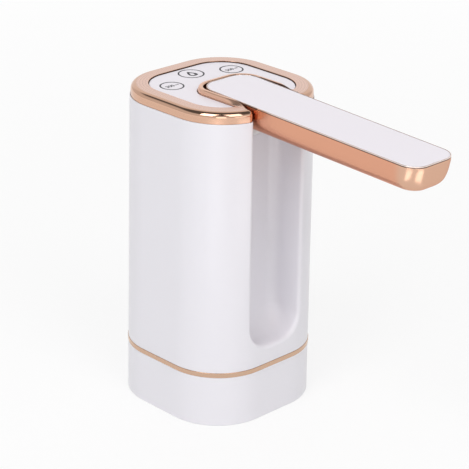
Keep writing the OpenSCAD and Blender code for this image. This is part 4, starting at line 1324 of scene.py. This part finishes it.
def cover_skin():
    """White top plate of the arm, inside the bead."""
    s = lengths("pump_arm")
    inset = s.bead_width + s.plate_gap
    plan = arm_path(s, inset, s.front - inset, s.tip_radius - inset)
    foot, bead_low, edge_low = s.rise - s.cover, s.rise - s.bead, s.rise - 2 * s.plate_round
    skin = Skin()
    # The cover's sides below the bead are painted dark as shade
    first, _ = skin.loft([raised(plan[:, :2], z) for z in (foot, bead_low)], material=COVER_SIDE_SHADE)
    plate = [raised(plan[:, :2], z) for z in (bead_low, edge_low)]
    plate += rounded_top(plan, s.plate_round, s.rise, 5)
    _, last = skin.loft(plate, material=COVER_TOP)
    skin.fill(first, material=COVER_SIDE_SHADE)
    skin.fill(last, material=COVER_TOP)
    skin.place(arm_frame(s))
    return skin.piece("cover_skin", COVER_FINISHES, "spout_arm", ["arm_cover"])


# CAD nodes that keep their own shape

NODE_WELD = 0.002 * MM
NODE_BEVEL = 0.18 * MM
NODE_BEVEL_ANGLE = math.radians(50)


def dress_nodes():
    """Finish for every CAD node, and softened edges for those that still show."""
    slots = {part["node"]: part["material_slot"] for part in frame["record"]["subparts"]}
    for name, obj in frame["nodes"].items():
        obj.data.materials.clear()
        obj.data.materials.append(get_material(slots[name]))
        if obj.hide_render:
            continue
        weld = obj.modifiers.new("weld", "WELD")
        weld.merge_threshold = NODE_WELD
        soften = obj.modifiers.new("soften", "BEVEL")
        soften.width = NODE_BEVEL
        soften.segments = 2
        soften.limit_method = "ANGLE"
        soften.angle_limit = NODE_BEVEL_ANGLE
        soften.harden_normals = True
        soften.use_clamp_overlap = True
        even_normals(obj)


# Stage

UP = Vector((0, 0, 1))
CAMERA_AZIMUTH = math.radians(45.355)
CAMERA_ELEVATION = math.radians(22.798)
CAMERA_ROLL = math.radians(1.13)
CAMERA_DISTANCE = 839.033 * MM
CAMERA_AIM = Vector((0, 0, 70.0)) * MM
CAMERA_ACROSS = 6.468 * MM
CAMERA_RAISE = 3.219 * MM
# Lens and sensor in millimetres, and nearest and farthest distance in metres
CAMERA_LENS = 146.37
CAMERA_SENSOR = 36.0
CAMERA_CLIP = (0.01, 50.0)
# Straight away from the camera over the floor, and where a level mirror sends the view
AWAY = Vector((-math.sin(CAMERA_AZIMUTH), math.cos(CAMERA_AZIMUTH), 0))
MIRRORED = AWAY * math.cos(CAMERA_ELEVATION) + UP * math.sin(CAMERA_ELEVATION)

BACKGROUND = (0.955, 0.955, 0.955, 1)
# Upward share of a direction where the horizon's light starts and ends to fall, and its light at both
HORIZON = (0.50, 0.68)
HORIZON_LIGHT = (0.92, 0.15)
# Nearness to the mirrored view where the light behind the pump starts and is full, and that light
BEHIND = (0.62, 0.86)
BEHIND_LIGHT = 1.12
# Share of this light that falls on dull surfaces, and the light from overhead that only they get
DIFFUSE_SHARE = 0.935
OVERHEAD_FILL = 0.40

# Half of the floor's side in metres, its colour as other surfaces get it, and under its glow in the picture
FLOOR_HALF = 9.0
FLOOR_COLOUR = (0.72, 0.72, 0.72, 1)
FLOOR_SHADOW = (0.2, 0.2, 0.2, 1)
# Distances from the pump in metres between which the floor's own light changes, and that light at both
FLOOR_REACH = (0.1, 1.2)
FLOOR_GLOW = (0.775, 0.85)

# Softboxes: direction from the pump as shares toward the camera, to its right and up, distance, size
# across and upwards, and power in watts
LAMPS = {
    "key_left": ((0.60, -0.37, 0.78), 2.6, (1.1, 1.73), 23.0),
    "key_right": ((0.60, 0.37, 0.78), 2.6, (1.1, 1.73), 15.5),
    "fill_front": ((0.75, 0.65, 0.12), 1.2, (0.6, 0.5), 0.5),
    "fill_low": ((1.0, 0.0, 0.06), 1.5, (0.5, 0.9), 1.9),
}
LAMP_AIM = Vector((0.02, 0, 0.09))
# Lit cards just over the floor beside the picture, which shine in the arm's round front corners
CARDS = {"card_left": (0.187, -0.237), "card_right": (0.314, 0.008)}
CARD_HEIGHT = 0.004
CARD_SIDE = 0.145
CARD_POWER = 0.077


def camera():
    """Camera at the photograph's viewing angle."""
    back = UP * math.sin(CAMERA_ELEVATION) - AWAY * math.cos(CAMERA_ELEVATION)
    right = AWAY.cross(UP)
    up = back.cross(right)
    place = CAMERA_AIM + right * CAMERA_ACROSS + up * CAMERA_RAISE + back * CAMERA_DISTANCE
    turned_right = right * math.cos(CAMERA_ROLL) + up * math.sin(CAMERA_ROLL)
    turned_up = up * math.cos(CAMERA_ROLL) - right * math.sin(CAMERA_ROLL)
    data = bpy.data.cameras.new("camera")
    data.lens = CAMERA_LENS
    data.sensor_width = CAMERA_SENSOR
    data.clip_start, data.clip_end = CAMERA_CLIP
    obj = new_object("camera", data)
    turn = Matrix((turned_right, turned_up, back)).transposed().to_4x4()
    obj.matrix_world = Matrix.Translation(place) @ turn
    bpy.context.scene.camera = obj


def seen_directly(tree):
    """1 for rays that show the background: camera, mirror-like and transmitted ones."""
    path = add_node(tree, "ShaderNodeLightPath").outputs
    mirrored = math_node(tree, "MAXIMUM", path["Is Camera Ray"], path["Is Glossy Ray"])
    return math_node(tree, "MAXIMUM", mirrored, path["Is Transmission Ray"])


def either(tree, share, first, second):
    """The first of two shaders for a share of 0, and the second for 1."""
    inputs = {0: share, 1: first.outputs[0], 2: second.outputs[0]}
    return add_node(tree, "ShaderNodeMixShader", inputs).outputs[0]


def world():
    """Studio surroundings: white round the horizon and behind the pump, dim overhead between the lamps."""
    studio = bpy.data.worlds.new("studio")
    bpy.context.scene.world = studio
    studio.use_nodes = True
    tree = studio.node_tree
    tree.nodes.clear()
    path = add_node(tree, "ShaderNodeLightPath").outputs
    direction = add_node(tree, "ShaderNodeTexCoord").outputs["Generated"]
    upward = split_axes(tree, direction)["Z"]
    horizon = soft_change(tree, upward, *HORIZON, *HORIZON_LIGHT)
    toward = add_node(tree, "ShaderNodeVectorMath", {0: direction, 1: MIRRORED}, operation="DOT_PRODUCT")
    behind = soft_change(tree, toward.outputs["Value"], *BEHIND, 0.0, BEHIND_LIGHT)
    bright = math_node(tree, "MAXIMUM", horizon, behind)
    dimmed = math_node(tree, "MULTIPLY_ADD", path["Is Diffuse Ray"], DIFFUSE_SHARE - 1, 1.0)
    overhead = soft_change(tree, upward, *HORIZON, 0.0, OVERHEAD_FILL)
    filled = math_node(tree, "MULTIPLY", path["Is Diffuse Ray"], overhead)
    strength = math_node(tree, "MULTIPLY_ADD", bright, dimmed, filled)
    room = add_node(tree, "ShaderNodeBackground", {"Strength": strength})
    backdrop = add_node(tree, "ShaderNodeBackground", {"Color": BACKGROUND})
    add_node(tree, "ShaderNodeOutputWorld", {"Surface": either(tree, path["Is Camera Ray"], room, backdrop)})


def floor_material():
    """Matt to other surfaces; seen directly it glows like the background and keeps a soft shadow."""
    paint = bpy.data.materials.new("floor")
    paint.use_nodes = True
    tree = paint.node_tree
    tree.nodes.clear()
    matt = add_node(tree, "ShaderNodeBsdfDiffuse", {"Color": FLOOR_COLOUR})
    shadow = add_node(tree, "ShaderNodeBsdfDiffuse", {"Color": FLOOR_SHADOW})
    distance = add_node(tree, "ShaderNodeVectorMath", {0: object_place(tree)}, operation="LENGTH")
    strength = soft_change(tree, distance.outputs["Value"], *FLOOR_REACH, *FLOOR_GLOW)
    glow = add_node(tree, "ShaderNodeEmission", {"Strength": strength})
    both = add_node(tree, "ShaderNodeAddShader", {0: shadow.outputs[0], 1: glow.outputs[0]})
    surface = either(tree, seen_directly(tree), matt, both)
    add_node(tree, "ShaderNodeOutputMaterial", {"Surface": surface})
    return paint


def floor():
    """Plain pale floor that keeps the object's shadow."""
    half = FLOOR_HALF
    corners = [(-half, -half, 0), (half, -half, 0), (half, half, 0), (-half, half, 0)]
    mesh = bpy.data.meshes.new("floor")
    mesh.from_pydata(corners, [], [(0, 1, 2, 3)])
    mesh.materials.append(floor_material())
    obj = new_object("floor", mesh)


def area_lamp(name, size, power, place):
    """Area lamp, which shines down its own Z axis."""
    data = bpy.data.lights.new(name, "AREA")
    data.shape = "RECTANGLE"
    data.size, data.size_y = size
    data.energy = power
    obj = new_object(name, data)
    obj.matrix_world = place
    return obj


def lamps():
    """Soft studio lamps on both sides of the camera, and the cards on the floor."""
    right = AWAY.cross(UP)
    for name, ((front, side, high), distance, size, power) in LAMPS.items():
        back = (right * side - AWAY * front + UP * high).normalized()
        across = UP.cross(back).normalized()
        turn = Matrix((across, back.cross(across), back)).transposed().to_4x4()
        area_lamp(name, size, power, Matrix.Translation(LAMP_AIM + back * distance) @ turn)
    for name, place in CARDS.items():
        facing_up = Matrix.Translation((*place, CARD_HEIGHT)) @ Matrix.Rotation(math.pi, 4, "X")
        card = area_lamp(name, (CARD_SIDE, CARD_SIDE), CARD_POWER, facing_up)
        card.visible_camera = False
        card.visible_diffuse = False


# Operators

class JUG_PUMP_OT_stage(bpy.types.Operator):
    """Sets up the camera, the floor and the studio light"""

    bl_idname = "jug_pump.stage"
    bl_label = "Stage"

    def execute(self, context):
        camera()
        world()
        floor()
        lamps()
        return {"FINISHED"}


class JUG_PUMP_OT_body(bpy.types.Operator):
    """Makes the white body with its arm channel"""

    bl_idname = "jug_pump.body"
    bl_label = "Body"

    def execute(self, context):
        body_skin()
        return {"FINISHED"}


class JUG_PUMP_OT_base(bpy.types.Operator):
    """Makes the base that goes over the bottle's neck"""

    bl_idname = "jug_pump.base"
    bl_label = "Base"

    def execute(self, context):
        base_skin()
        return {"FINISHED"}


class JUG_PUMP_OT_trim(bpy.types.Operator):
    """Makes the plated ring between base and body"""

    bl_idname = "jug_pump.trim"
    bl_label = "Trim"

    def execute(self, context):
        trim_skin()
        return {"FINISHED"}


class JUG_PUMP_OT_ring(bpy.types.Operator):
    """Makes the plated ring round the top"""

    bl_idname = "jug_pump.ring"
    bl_label = "Top ring"

    def execute(self, context):
        ring_skin()
        return {"FINISHED"}


class JUG_PUMP_OT_panel(bpy.types.Operator):
    """Makes the white touch panel"""

    bl_idname = "jug_pump.panel"
    bl_label = "Touch panel"

    def execute(self, context):
        panel_skin()
        return {"FINISHED"}


class JUG_PUMP_OT_keys(bpy.types.Operator):
    """Prints the three keys on the panel"""

    bl_idname = "jug_pump.keys"
    bl_label = "Keys"

    def execute(self, context):
        key_marks()
        key_texts()
        return {"FINISHED"}


class JUG_PUMP_OT_trough(bpy.types.Operator):
    """Makes the plated trough of the arm and its knuckle"""

    bl_idname = "jug_pump.trough"
    bl_label = "Arm trough"

    def execute(self, context):
        trough_skin()
        knuckle_skin()
        return {"FINISHED"}


class JUG_PUMP_OT_cover(bpy.types.Operator):
    """Makes the white plate on the arm"""

    bl_idname = "jug_pump.cover"
    bl_label = "Arm cover"

    def execute(self, context):
        cover_skin()
        return {"FINISHED"}


class JUG_PUMP_OT_nodes(bpy.types.Operator):
    """Finishes the pieces that keep their own shape"""

    bl_idname = "jug_pump.nodes"
    bl_label = "Inner pieces"

    def execute(self, context):
        dress_nodes()
        return {"FINISHED"}


# In the order in which they run
OPERATORS = (
    JUG_PUMP_OT_stage, JUG_PUMP_OT_body, JUG_PUMP_OT_base, JUG_PUMP_OT_trim, JUG_PUMP_OT_ring,
    JUG_PUMP_OT_panel, JUG_PUMP_OT_keys, JUG_PUMP_OT_trough, JUG_PUMP_OT_cover, JUG_PUMP_OT_nodes,
)


class JUG_PUMP_PT_pieces(bpy.types.Panel):
    """Buttons for the pieces of the pump, in the order in which they are made."""

    bl_label = "Jug pump"
    bl_space_type = "VIEW_3D"
    bl_region_type = "UI"
    bl_category = "Jug pump"

    def draw(self, context):
        for made in OPERATORS:
            self.layout.operator(made.bl_idname)


def register():
    """Adds the property groups, the operators and the panel."""
    for name, group in GROUPS.items():
        bpy.utils.register_class(group)
        setattr(bpy.types.Scene, name, PointerProperty(type=group))
    for made in (*OPERATORS, JUG_PUMP_PT_pieces):
        bpy.utils.register_class(made)


def unregister():
    """Takes away what register adds."""
    for made in reversed((*OPERATORS, JUG_PUMP_PT_pieces)):
        bpy.utils.unregister_class(made)
    for name, group in reversed(GROUPS.items()):
        delattr(bpy.types.Scene, name)
        bpy.utils.unregister_class(group)


def main():
    """Makes the stage and all the pieces."""
    register()
    bpy.context.scene.view_settings.view_transform = "Standard"
    for made in OPERATORS:
        getattr(bpy.ops.jug_pump, made.bl_idname.split(".")[1])()


if __name__ == "__main__":
    main()
